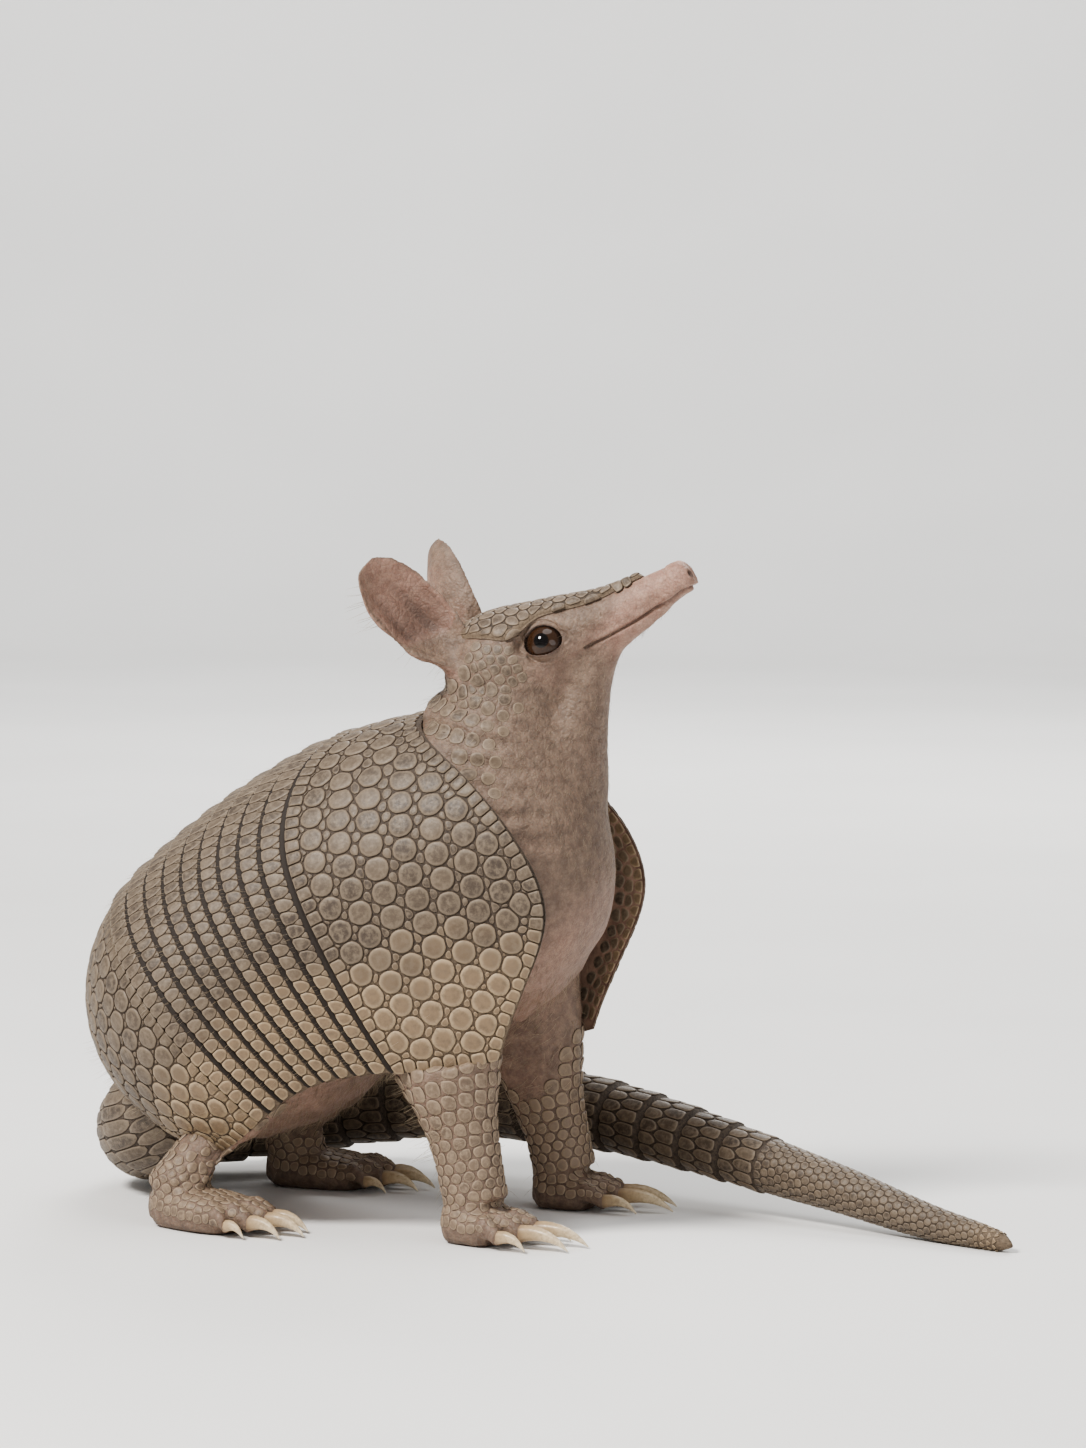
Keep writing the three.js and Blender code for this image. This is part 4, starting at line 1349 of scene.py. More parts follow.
def skin():
    mesh = remeshed(flesh(), SKIN_VOXEL)
    p = points_of(mesh)
    edges = edges_of(mesh)
    h = to_head(p)
    n = point_normals(mesh)

    on_face = smoothstep(h[:, 0], 16, 30) * (np.abs(h[:, 1]) < 40) * (p[:, 2] > HEAD_ABOVE)
    leaf = np.zeros(len(p), bool)
    for side in (1, -1):
        leaf |= (np.linalg.norm(p - leaf_middle(side), axis=1) < 36) & (h[:, 2] > 25)
    foot_part = 1 - smoothstep(p[:, 2], 18, 34)
    free = (1 - 0.9 * on_face) * (1 - leaf) * (1 - 0.85 * foot_part)
    p = eased(p, edges, 0.7 * free, 34, n)
    set_points(mesh, p)
    n = point_normals(mesh)
    p = eased(p, edges, 0.6 * (1 - leaf) * (1 - 0.5 * foot_part) * (1 - 0.3 * on_face), 5)
    p = eased(p, edges, 0.5 * leaf, 3)
    p = thinned_ears(p)
    p = under_armour(p)
    top = leg_tops(p)
    p = eased(p, edges, 0.6 * top, 30)
    p = under_armour(p)
    p = eased(p, edges, 0.4 * top, 2)
    h = to_head(p)
    below_jaw = smoothstep(-h[:, 2], 9, 14)
    sides = (1 - smoothstep(np.linalg.norm(p - in_head([40, 0, -36]), axis=1), 50, 66)) * below_jaw
    set_points(mesh, p)
    p = eased(p, edges, 0.85 * sides, 160, point_normals(mesh))
    throat = (1 - smoothstep(np.linalg.norm(p - in_head([44, 0, -42]), axis=1), 44, 60)) * below_jaw
    chin = smoothstep(h[:, 0], 86, 92) * (1 - smoothstep(h[:, 0], 102, 106))
    chin = chin * smoothstep(-h[:, 2], 4.5, 7.5) * (p[:, 2] > HEAD_ABOVE)
    p = eased(p, edges, 0.62 * throat, 70)
    p = eased(p, edges, 0.45 * chin, 26)
    set_points(mesh, p)
    refine(mesh, face_details, 2)
    p = points_of(mesh)
    edges = edges_of(mesh)
    p = eased(p, edges, 0.5 * face_details(p), 3)
    set_points(mesh, p)
    n = point_normals(mesh)
    p, dark = carve_head(p, n)
    h = to_head(p)

    # neck: rings of folded skin
    reach, on_neck = along_neck(p)
    on_neck = on_neck * (1 - leaf_mask(p)) * (1 - smoothstep(h[:, 0], 14, 26))
    wave = np.sin(reach / 1.55 + 1.6 * noise(p, 22, 4) + 0.9 * noise(p, 8, 5))
    fold = np.sign(wave) * np.abs(wave) ** 0.7
    p = p + n * (1.0 * on_neck * fold * (0.7 + 0.3 * noise(p, 14, 6)))[:, None]

    # belly: soft folds across it, and the finer ones of loose skin
    below = smoothstep(-n[:, 2], -0.1, 0.5) * (p[:, 2] > 34)
    wave = np.sin(p[:, 0] / 2.6 + 2.2 * noise(p * [1, 0.35, 0.35], 22, 7))
    p = p + n * (below * (0.55 * wave + 0.6 * noise(p, 9, 8)))[:, None]
    # legs: folds over the joints
    for _, leg, side in LEGS:
        knee = np.array(leg["stations"][2][:3]) * [1, side, 1]
        near = np.exp(-((p[:, 2] - knee[2]) / 15) ** 2) * (np.abs(p[:, 1] - knee[1]) < 32)
        near = near * (np.abs(p[:, 0] - knee[0]) < 38)
        wave = np.sin(p[:, 2] / 1.5 + 1.2 * noise(p, 11, 9))
        p = p + n * (0.4 * near * wave)[:, None]
        foot = leg["foot"]
        local = p - [foot["at"][0], side * foot["at"][1], 0]
        c, s = math.cos(foot["splay"]), math.sin(foot["splay"])
        fx = local[:, 0] * c + side * local[:, 1] * s
        fy = side * local[:, 1] * c - local[:, 0] * s
        on = (p[:, 2] < 30) & (np.abs(fx) < 60) & (np.abs(fy) < 26)
        for y, reach_, radius, _ in leg["toes"]:
            over = on * np.exp(-((fy - fan(foot, (y,), fx)) / (radius * 0.9)) ** 2) * (n[:, 2] > -0.2)
            for k in (0.0, 0.5):
                joint = foot["front"] + lerp(0, reach_, k)
                p = p - n * (0.35 * over * np.exp(-((fx - joint) / 0.8) ** 2))[:, None]
        sole = on * (p[:, 2] < 2.5)
        p = p + n * (0.25 * (on & (p[:, 2] > 3)) * noise(p, 2.6, 10))[:, None]
        dark = np.maximum(dark, 0.25 * sole)
    # inside the ears: long ridges from the root; the hollow is pinker, with painted shade that deepens
    # towards the root and lies in the troughs between the ridges
    hollow = np.zeros(len(p))
    for side in (1, -1):
        along, across, depth = in_ear(p, side)
        cup = leaf_mask(p) * (h[:, 1] * side > 0) * smoothstep(depth, 0.1, 0.6)
        cup = cup * smoothstep(1 - np.abs(across), 0.04, 0.2)
        ridge = np.cos(across * 3 * math.pi
                       + 0.5 * side) * smoothstep(along, 0.2, 0.36) * (1 - smoothstep(along, 0.66, 0.9))
        p = p + n * (0.42 * cup * ridge)[:, None]
        hollow = np.maximum(hollow, cup * (1 - 0.6 * smoothstep(along, 0.5, 0.95)))
        deep = (1 - smoothstep(along, 0.34, 0.82)) * (1 - 0.6 * np.abs(across) ** 2)
        # painted shade deep in the ear's hollow and between its ridges
        dark = np.maximum(dark, cup * np.clip(0.8 * deep + 0.22 * smoothstep(-ridge, 0.1, 0.8), 0, 1))
    p = p + n * (0.13 * (1 - on_eye(p)) * noise(p, 3.2, 11))[:, None]
    p[:, 2] = np.maximum(p[:, 2], 0)
    set_points(mesh, p)

    # under the carapace it is never seen, so it takes few faces there
    h = to_head(p)
    hidden = buried(p) & ~proud(p)
    p = p - n * (1.6 * hidden)[:, None]
    set_points(mesh, p)
    obj = bpy.data.objects.new("skin", mesh)
    bpy.context.scene.collection.objects.link(obj)
    pink = np.clip(
        0.85 * smoothstep(h[:, 0], 58, 104) * (p[:, 2] > HEAD_ABOVE)
        + 0.5 * smoothstep(-n[:, 2], -0.6, 0.6) * (p[:, 2] > 30)
        + 0.22 * leaf_mask(p) + 0.5 * hollow + 0.15 * (p[:, 2] < 30) + 0.1 * on_neck, 0, 1)
    for key, values in (("pink", pink), ("dark", np.clip(dark, 0, 1))):
        mesh.attributes.new(key, "FLOAT", "POINT").data.foreach_set("value", values.astype(np.float32))
    mesh.materials.clear()
    mesh.materials.append(SKIN)
    # under the armour almost nothing is left
    slimmed(obj, hidden.astype(float), lambda total, inside: (total - 0.94 * inside) / total, 6)
    inner = points_of(obj.data)
    set_points(obj.data, kept_in(inner))
    q = points_of(obj.data)
    # and the body's plainer parts give way to the face, ears and feet
    fine = np.maximum(smoothstep(to_head(q)[:, 0], 12, 26) * (q[:, 2] > HEAD_ABOVE),
                      np.maximum(leaf_mask(q), 1 - smoothstep(q[:, 2], 18, 30)))
    slimmed(obj, 1 - 0.85 * fine, lambda total, inside: SKIN_FACES / total, 2)
    set_points(obj.data, kept_in(points_of(obj.data)))
    obj.vertex_groups.clear()
    obj.data.polygons.foreach_set("use_smooth", np.ones(len(obj.data.polygons), bool))
    return obj


def slimmed(obj, weights, share, strength):
    """Fewer faces where the weights are high; share gives the part of them that is kept."""
    mesh = obj.data
    total = sum(len(f.vertices) - 2 for f in mesh.polygons)
    inside = sum(len(f.vertices) - 2 for f in mesh.polygons if min(weights[v] for v in f.vertices) > 0.99)
    ratio = share(total, inside)
    if ratio >= 1:
        return
    group = obj.vertex_groups.new(name="coarse")
    levels = np.round(weights * 20).astype(int)
    for level in range(1, 21):
        group.add(np.flatnonzero(levels == level).tolist(), level / 20, "REPLACE")
    modifier = obj.modifiers.new("Decimate", "DECIMATE")
    modifier.ratio = ratio
    modifier.vertex_group = "coarse"
    modifier.vertex_group_factor = strength
    slim = bpy.data.meshes.new_from_object(obj.evaluated_get(bpy.context.evaluated_depsgraph_get()))
    obj.modifiers.clear()
    obj.data = slim
    obj.vertex_groups.clear()


def on_axis(p):
    """How far along the body's axis each point lies, the way up there, and how far up it is."""
    pitch = np.arctan2(AXIS_CENTRE[0] - p[:, 0], p[:, 2] - AXIS_CENTRE[2])
    s = (REAR_PITCH - pitch) * AXIS_RADIUS
    origin, _, up = axis_at(s)
    return s, up, ((p - origin) * up).sum(-1)


def kept_in(p):
    """The points under the armour, none of them outside the trunk."""
    s, up, z = on_axis(p)
    b = body_at(s, THICK + CLEARANCE)
    r = np.hypot(p[:, 1] / b["width"], np.maximum(z, 0) / b["height"])
    far = buried(p) & (s < 130) & (s > 0) & (r > 0.99)
    k = np.where(far, 0.985 / np.maximum(r, 1e-6), 1.0)
    lifted = p - up * (np.maximum(z, 0) * (1 - k))[:, None]
    lifted[:, 1] = p[:, 1] * k
    return np.where(far[:, None], lifted, p)


def along_neck(p):
    """How far up the neck's own line each point lies, and how much it belongs to the neck."""
    k = np.linspace(0, 1, 61)
    line = neck_surface(k, 0 * k, -neck_height(k))
    run = lengths_along(line)
    near = np.full(len(p), 1e9)
    reach = np.zeros(len(p))
    for i in range(len(k)):
        d = ((p - line[i]) ** 2).sum(1)
        closer = d < near
        near, reach = np.where(closer, d, near), np.where(closer, run[i], reach)
    tangent = unit(np.gradient(line, axis=0))
    i = np.clip(np.searchsorted(run, reach), 0, len(k) - 1)
    reach = reach + ((p - line[i]) * tangent[i]).sum(1)
    part = smoothstep(reach, 26, 40) * (1 - smoothstep(reach, run[-1] - 24, run[-1] - 6))
    return reach, part * (np.sqrt(near) < 66) * (p[:, 2] > 110)


def leaf_mask(p):
    h = to_head(p)
    mask = np.zeros(len(p))
    for side in (1, -1):
        mask = np.maximum(mask, (np.linalg.norm(p - leaf_middle(side), axis=1) < 34)
                          * smoothstep(h[:, 2], 23, 30))
    return mask


def on_eye(p):
    h = to_head(p)
    mask = np.zeros(len(p))
    for side in (1, -1):
        mask = np.maximum(mask, 1 - smoothstep(np.linalg.norm(h - EYE_AT * [1, side, 1], axis=1), 11, 14))
    return mask


def buried(p):
    """Points well inside the carapace."""
    s, _, z = on_axis(p)
    return (s > -12) & (s < 150) & (z > -skirt_at(s) + 22)


_start, _, _up = axis_at(0.0)
AXIS_CENTRE = _start - AXIS_RADIUS * _up


ARMOUR_TREE, ARMOUR_EDGE = armour_tree()
BODY = skin()
SKIN_POINTS = points_of(BODY.data)
_loops = [tuple(f.vertices) for f in BODY.data.polygons]
HIDE = BVHTree.FromPolygons(SKIN_POINTS.tolist(), _loops)
FLESH = ["trunk", "neck", "head", "jaw", "ear_left", "ear_right"]
FLESH += [f"{part}_{tag}" for tag, _, _ in LEGS for part in ("upper_leg", "lower_leg", "foot")]
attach(BODY, "root")
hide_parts(*FLESH)


def dress(obj, slot, *nodes):
    """Puts a made piece on the body, standing for the solids it covers."""
    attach(obj, "root")
    if nodes:
        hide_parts(*nodes)
    return obj


# ---------------------------------------------------------------- eyes and claws


def eyeball(word, side):
    """A ball with the clear cornea's bulge over its iris."""
    centre, out, along, up = eye_frame(side)

    def place(t, angle):
        off = t * math.pi
        r = EYE_RADIUS + 0.55 * np.exp(-(off / 0.62) ** 2 * 1.6)
        return in_head(centre + r[..., None]
                       * (np.cos(off)[..., None] * out + (np.sin(off) * np.cos(angle))[..., None] * along
                                                + (np.sin(off) * np.sin(angle))[..., None] * up))
    ts = np.linspace(0.004, 0.996, 48)
    verts, faces = loft(place, ts, 56)
    off = np.concatenate([np.repeat(ts * math.pi, 56), [0, math.pi]])
    obj = make(f"eyeball_{word}", verts, faces, EYE, attributes={"off": np.clip(off / 1.2, 0, 1)})
    return dress(obj, "eye", f"eye_{word}")


def claw(name, node, foot, toe, side):
    """A horn claw: high and narrow, with a keel above and a flat underneath."""
    y0, reach, radius, length = toe
    start = foot["front"] + reach - 1.6
    a, b = (start, radius + 0.1), (start + 0.6 * length + 1, radius + 3.2)
    c = (foot["front"] + reach + GAP + length, 0.7)

    def place(t, angle):
        x = a[0] * (1 - t) ** 2 + 2 * b[0] * t * (1 - t) + c[0] * t * t
        z = a[1] * (1 - t) ** 2 + 2 * b[1] * t * (1 - t) + c[1] * t * t
        dx = 2 * (b[0] - a[0]) * (1 - t) + 2 * (c[0] - b[0]) * t
        dz = 2 * (b[1] - a[1]) * (1 - t) + 2 * (c[1] - b[1]) * t
        k = np.hypot(dx, dz)
        thick = lerp(0.76, 0.05, t ** 1.5) * radius
        wide = 0.8 * thick * np.sin(angle) * (1 + 0.10 * np.cos(angle))
        high = thick * np.where(np.cos(angle) > 0, np.cos(angle) * 1.02, powered(np.cos(angle), 0.6) * 0.72)
        high = high + 0.03 * thick * np.cos(7 * angle) * (np.cos(angle) > 0)
        ridge = 1 + 0.018 * np.sin(t * length * 1.9 + y0)
        px, pz = x - dz / k * high * ridge, z + dx / k * high * ridge
        return on_foot(foot, side, px, fan(foot, toe, x) + wide * ridge, np.maximum(pz, 0.05))
    ts = np.linspace(0, 1, 34)
    verts, faces = loft(place, ts, 28)
    along = np.concatenate([np.repeat(ts, 28), [0, 1]])
    return dress(make(name, verts, faces, CLAW, attributes={"along": along}), "claw", node)


for _word, _side in (("left", 1), ("right", -1)):
    eyeball(_word, _side)
for _tag, _leg, _side in LEGS:
    for _i, _toe in enumerate(_leg["toes"]):
        claw(f"horn_{_tag}_{_i + 1}", f"claw_{_tag}_{_i + 1}", _leg["foot"], _toe, _side)


# ---------------------------------------------------------------- the carapace


def plate_mesh(place, rows, columns, low=None, fold=None):
    """A closed plate: place(p, q, k) with k from 0 at its outer face to 1 at its inner one."""
    p = np.linspace(0, 1, rows)
    q = np.linspace(0, 1, columns)
    pp, qq = np.meshgrid(p, q, indexing="ij")
    outer = place(pp, qq, 0.0)
    inner = place(pp, qq, 1.0)
    n = rows * columns
    quads = grid_faces(rows, columns, False)
    rim = np.concatenate([np.arange(columns), np.arange(1, rows) * columns + columns - 1,
                          (rows - 1) * columns + np.arange(columns - 2, -1, -1),
                          np.arange(rows - 2, 0, -1) * columns])
    nxt = np.roll(rim, -1)
    side = np.stack([rim, nxt, nxt + n, rim + n], -1)
    verts = np.vstack([outer.reshape(-1, 3), inner.reshape(-1, 3)])
    faces = np.vstack([quads, quads[:, ::-1] + n, side])
    if swept_volume(verts, faces[:, :3], faces[:, [0, 2, 3]]) < 0:
        faces = faces[:, ::-1]
    lows = np.zeros(n) if low is None else low(pp, qq).ravel()
    folds = np.zeros(n) if fold is None else fold(pp, qq).ravel()
    return verts, faces, {"low": np.concatenate([lows, lows]),
                          "under": np.concatenate([np.zeros(n), np.ones(n)]),
                          "fold": np.concatenate([folds, folds])}


def lowness(v):
    """0 on the back, 1 down the sides, where the armour is paler."""
    return smoothstep(np.abs(v), 0.42, 0.98)


def shell_offset(l, v, offset):
    return carapace(l, v) + shell_normal(l, v) * np.asarray(offset)[..., None]


BAND_FOLD = 2.5     # the strip of folded skin ahead of a band's scutes
BED = 0.55          # how far the plates' beds lie under the scutes' crowns


def bed(rear, front, lift):
    """The bed of one plate between two margins."""
    def place(p, q, k):
        v = 2 * q - 1
        a, b = rear(v), front(v)
        edge = np.minimum(np.minimum(p, 1 - p) * (b - a), np.minimum(q, 1 - q) * 340)
        roll = roll_off(edge, 2.0)
        top = lerp(RISE, -0.4, p) * lift(p) - BED - roll * 0.9
        return shell_offset(lerp(a, b, p), v, lerp(top, -THICK + 0.1 + roll * 0.3, k))
    return place


def scap_lift(p):
    return np.maximum(0, 1 - 6 * p)


def pelvic_lift(p):
    return np.maximum(0, 6 * p - 5)


def level(value):
    """The same value right across the shell."""
    return lambda v: value + 0 * v


scap_rear = level(SCAP_REAR + GAP / 2)
pelvic_front = level(PELVIC_FRONT - GAP / 2)
for _name, _rear, _front, _lift in (("scapular_shield", scap_rear, scapular_front, scap_lift),
                                    ("pelvic_shield", pelvic_rear, pelvic_front, pelvic_lift)):
    _v, _f, _a = plate_mesh(bed(_rear, _front, _lift), 60, 150, lambda p, q: lowness(2 * q - 1))
    dress(make(f"{_name}_bed", _v, _f, SEAM, attributes=_a), "armour", _name)

for _i in range(BAND_COUNT):
    _at = BAND_REAR + _i * BAND_PITCH
    _bed = bed(level(_at + GAP / 2), level(_at + BAND_PITCH - GAP / 2), level(1))
    # the fold mask: the front strip of each band's bed, folded skin that takes painted shadow from the band
    # ahead
    _v, _f, _a = plate_mesh(_bed, 24, 190, lambda p, q: lowness(2 * q - 1), lambda p,
                            q: smoothstep(p, 0.66, 0.74))
    dress(make(f"band_{BAND_COUNT - _i}_bed", _v, _f, SEAM, attributes=_a), "armour",
          f"band_{BAND_COUNT - _i}")


def arc(l):
    """Half the carapace's length across at l."""
    b = body_at(l)
    return quarter_of(b) + b["skirt"]


SHELL_MAP_AT, SHELL_MAP_SIZE = [60, 270], 560       # where the carapace lies on its map, and the map's side


def shell_map(uw):
    """Where a place on the carapace lies on the map, in millimetres."""
    return np.stack([uw[:, 0], uw[:, 1] * arc(uw[:, 0])], -1)


def margin(points, inward_points):
    """A margin's points and, at each, the way into the plate, square to the margin."""
    tangent = unit(np.gradient(points, axis=0))
    inward = inward_points - points
    return points, unit(inward - tangent * (inward * tangent).sum(-1, keepdims=True))


def shield(name, rear, front, lift, pitch, fade):
    """A shield's rosettes: rows of rounded scutes, with small ones let in where three meet."""
    def place(l, v):
        a, b = rear(v), front(v)
        p = (l - a) / (b - a)
        return shell_offset(l, v, lerp(RISE, -0.4, p) * lift(p) - BED)
    surface = Surface(place, 0.5, 0.004)
    vs = np.linspace(-1, 1, 700)
    inset = 3.0
    walls = []
    for line, way in ((rear, 1), (front, -1)):
        walls.append(margin(place(line(vs) + way * 0.2, vs), place(line(vs) + way * 3.2, vs)))
    for end in (-1, 1):
        ls = np.linspace(float(rear(np.array(float(end)))), float(front(np.array(float(end)))), 120)
        walls.append(margin(place(ls, end + 0 * ls), place(ls, end * 0.985 + 0 * ls)))
    walls = (np.vstack([w[0] for w in walls]), np.vstack([w[1] for w in walls]))
    # a row of small squarish scutes keeps each margin
    seeds, kind = [], []

    def along(line, way, depth, spacing):
        p = place(line(vs) + way * depth, vs)
        run = lengths_along(p)
        count = int(run[-1] / spacing)
        at = np.interp((np.arange(count) + 0.5) / count * run[-1], run, vs)
        for v in at:
            seeds.append((float(line(np.array(v))) + way * depth, v))
            kind.append(1)
    along(rear, 1, inset, 5.6)
    along(front, -1, inset, 5.6)
    for end in (-1, 1):
        a, b = (float(f(np.array(float(end)))) for f in (rear, front))
        wide = inset / float(arc(np.array((a + b) / 2)))
        for l in np.arange(a + 3 * inset, b - 2.4 * inset, 5.6):
            seeds.append((l, end * (1 - wide)))
            kind.append(1)
    # rows follow the straighter margin
    low, high = float(min(rear(vs).min(), front(vs).min())), float(max(front(vs).max(), rear(vs).max()))
    straight_front = np.ptp(front(vs)) < 1
    start = float(front(np.array(0.0))) - 2 * inset - pitch * 0.3 if straight_front else float(
        rear(np.array(0.0))) + 2 * inset + pitch * 0.3
    step = -1 if straight_front else 1
    k = 0
    while low < start + step * k * pitch * 0.9 < high:
        l = start + step * k * pitch * 0.9
        half = float(arc(np.array(l)))
        count = max(3, int(round(2 * half / pitch)))
        for j in range(count + (k % 2)):
            v = -1 + (j + (0.0 if k % 2 else 0.5)) * 2 / count
            a, b = float(rear(np.array(v))), float(front(np.array(v)))
            room = 1 - (2 * inset + 0.2 * pitch) / half
            if a + 2 * inset + 0.25 * pitch < l < b - 2 * inset - 0.25 * pitch and abs(v) < room:
                seeds.append((l + rng.normal(0, 0.22), v + rng.normal(0, 0.25) / half))
                kind.append(0)
        k += 1
    uw, kind = np.array(seeds), np.array(kind)
    for _ in range(2):
        field = surface.seed(uw)
        polys = cells(field, 2.1 * pitch, 0.4, walls=walls)
        centre = np.array([middle_of(p) if p else (0, 0) for p in polys])
        moved = field.uw_of(centre[:, None])[:, 0]
        uw = np.where((kind == 0)[:, None], lerp(uw, moved, 0.7), uw)
    # small scutes sit in the corners that three main ones share
    field = surface.seed(uw)
    polys = cells(field, 2.1 * pitch, 0.0, walls=walls)
    corners = []
    for i, poly in enumerate(polys):
        if poly is None or kind[i]:
            continue
        q = np.asarray(poly)
        ahead = np.linalg.norm(np.roll(q, -1, 0) - q, axis=1)
        for k_, c in enumerate(q):
            if ahead[k_] > 0.8 and ahead[k_ - 1] > 0.8:
                corners.append(field.only([i]).uw_of(c[None, None])[0, 0])
    corners = np.array(corners)
    spots = surface.seed(corners)
    tree = tree_of(spots.at)
    used, small = np.zeros(len(corners), bool), []
    for i in range(len(corners)):
        if used[i]:
            continue
        near = [j for _, j, _ in tree.find_range(spots.at[i], pitch * 0.3)]
        used[near] = True
        small.append(corners[near].mean(0))
    small = np.array(small)
    kept = len(uw)
    uw = np.vstack([uw, small])
    sizes = np.concatenate([np.where(kind == 0, pitch * 0.5, pitch * 0.36),
                            np.full(len(small), pitch * 0.1)])
    field = surface.seed(uw)
    polys = cells(field, 2.1 * pitch, 0.45, size=sizes, walls=walls)
    main = [p if i < kept else None for i, p in enumerate(polys)]
    rest = [p if i >= kept else None for i, p in enumerate(polys)]
    low_at = np.maximum(lowness(uw[:, 1]), fade(uw[:, 0], uw[:, 1]))
    places = shell_map(uw)
    sets = [scutes(field, main, 0.92 + 0 * sizes, 18, DOMED, low_at, uv=places, soft=0.17, times=1),
            scutes(field, rest, 0.52 + 0 * sizes, 9, FLAT, low_at, uv=places, soft=0.3)]
    v, f, a, m = merged(sets)
    return dress(make(name, v, f, ARMOUR, attributes=a, uv=(m + SHELL_MAP_AT) / SHELL_MAP_SIZE), "armour")


def rim_scutes():
    """The front margin's scutes lap round it onto its inner side, in two rows."""
    def place(l, v):
        return shell_offset(l, v, -THICK + 0.45)
    surface = Surface(place, 0.5, 0.004, -1)
    vs = np.linspace(-1, 1, 700)
    seeds, rows = [], []
    for row_, (depth, spacing) in enumerate(((2.7, 5.4), (7.3, 6.6), (12.0, 7.6))):
        p = place(scapular_front(vs) - depth, vs)
        run = lengths_along(p)
        count = int(run[-1] / spacing)
        for v in np.interp((np.arange(count) + 0.5) / count * run[-1], run, vs):
            if abs(v) < 0.985:
                seeds.append((float(scapular_front(np.array(v))) - depth + (row_ > 0) * rng.normal(0, 0.3),
                              v))
                rows.append(row_)
    uw, rows = np.array(seeds), np.array(rows)
    wall = margin(place(scapular_front(vs) - 0.3, vs), place(scapular_front(vs) - 3.2, vs))
    field = surface.seed(uw)
    polys = cells(field, 12.0, 0.45, walls=wall, wall_gap=0.5)
    polys = [limited(p, (3.6, 4.0, 3.3)[k]) for p, k in zip(polys, rows)]
    v, f, a, m = scutes(field, polys, 0.5 + 0 * rows, 12, FLAT, 0.75 - 0.2 * rows, uv=shell_map(uw),
                        soft=0.2)
    return dress(make("scapular_rim_scutes", v, f, ARMOUR, attributes=a,
                      uv=(m + SHELL_MAP_AT) / SHELL_MAP_SIZE), "armour")


SHIELD_PITCH = 10.6
shield("scapular_scutes", scap_rear, scapular_front, scap_lift, SHIELD_PITCH, lambda l, v: 0 * l)
rim_scutes()
shield("pelvic_scutes", pelvic_rear, pelvic_front, pelvic_lift, SHIELD_PITCH, lambda l,
       v: 0.35 * smoothstep(-l, 5, 42))


def spread(field, polys):
    """Outlines given in steps of the surface's own (u, w), as places in each seed's plane."""
    steps = np.linalg.inv(field.inverse)
    flat = [np.asarray(p) @ m.T for p, m in zip(polys, steps)]
    return [p if area_of(p) > 0 else p[::-1] for p in flat]


def metric(field):
    """How many millimetres a step of u is at each seed, and a step of w."""
    return np.linalg.norm(np.linalg.inv(field.inverse), axis=1).T


BAND_SCUTES = 62


def band_scutes(index):
    """One band: long scutes, broad behind, with narrow wedges let in between them from the front."""
    start = BAND_REAR + index * BAND_PITCH + GAP / 2
    length = BAND_PITCH - GAP

    def place(l, v):
        return shell_offset(l, v, lerp(RISE, -0.4, (l - start) / length) - BED)
    surface = Surface(place, 0.4, 0.004)
    middle = start + length / 2
    edge = 1 - 1.0 / float(arc(np.array(middle)))
    count = BAND_SCUTES
    step = 2 * edge / count
    along = np.concatenate([-edge + (np.arange(count) + 0.5) * step, -edge + np.arange(1, count) * step])
    uw = np.stack([0 * along + middle, along], -1)
    field = surface.seed(uw)
    tall, wide = metric(field)
    # ahead of them a strip of folded skin shows, coloured dark partly as painted shadow of the band ahead
    front, rear = length / 2 - BAND_FOLD / tall, length / 2 - 0.15 / tall
    jitter = rng.normal(0, 0.12, len(uw))
    polys = []
    for k in range(len(uw)):
        f, r, shoulder = front[k], -rear[k], -rear[k] + 0.42 * length
        if k < count:
            near = step / 2 - (0.13 - 0.3 * jitter[k]) / wide[k]
            far = near * 0.36
            polys.append([(r, -near), (shoulder, -near), (f, -far), (f, far), (shoulder, near), (r, near)])
        else:
            b, point, tip = step * 0.32 - 0.22 / wide[k], shoulder + 0.5 + jitter[k], 0.28 / wide[k]
            polys.append([(f, -b), (f, b), (f - 0.1, b), (point, tip), (point, -tip), (f - 0.1, -b)])
    polys = spread(field, polys)
    low_at = lowness(uw[:, 1])
    places = shell_map(uw)
    main = [p if i < count else None for i, p in enumerate(polys)]
    rest = [p if i >= count else None for i, p in enumerate(polys)]
    return [scutes(field, main, np.full(len(polys), 0.62), 14, FLAT, low_at, uv=places, soft=0.12, times=1,
                   lean=0.3),
            scutes(field, rest, np.full(len(polys), 0.45), 9, FLAT, low_at, uv=places, soft=0.14, times=1)]


for _half, _bands in (("rear", range(0, 5)), ("front", range(5, BAND_COUNT))):
    _v, _f, _a, _m = merged([s for i in _bands for s in band_scutes(i)])
    dress(make(f"band_scutes_{_half}", _v, _f, ARMOUR, attributes=_a,
               uv=(_m + SHELL_MAP_AT) / SHELL_MAP_SIZE), "armour")


# ---------------------------------------------------------------- the head's shield


CROWN_REAR, CROWN_FRONT = 8, 94       # along the head


def crown_bed(p, q, k):
    x = lerp(CROWN_REAR, CROWN_FRONT, p)
    reach = np.radians(brow_angle(x))
    edge = np.minimum(np.minimum(p, 1 - p) * (CROWN_FRONT - CROWN_REAR),
                      np.minimum(q, 1 - q) * 2 * reach * 20)
    roll = roll_off(edge, 3.2)
    return head_surface(x, (1 - 2 * q) * reach, lerp(2.35 - roll * 1.9, 0.2, k))


def crown_margin(p, q):
    """1 along the shield's margin, where its horn is paler."""
    return 0.25 + 0.95 * (1 - smoothstep(np.minimum(np.minimum(p, 1 - p) * (CROWN_FRONT - CROWN_REAR),
                                                    np.minimum(q, 1 - q) * 44), 2.0, 4.0))


_v, _f, _a = plate_mesh(crown_bed, 90, 70, crown_margin)
dress(make("head_shield_bed", _v, _f, SEAM, attributes=_a), "armour", "head_shield")


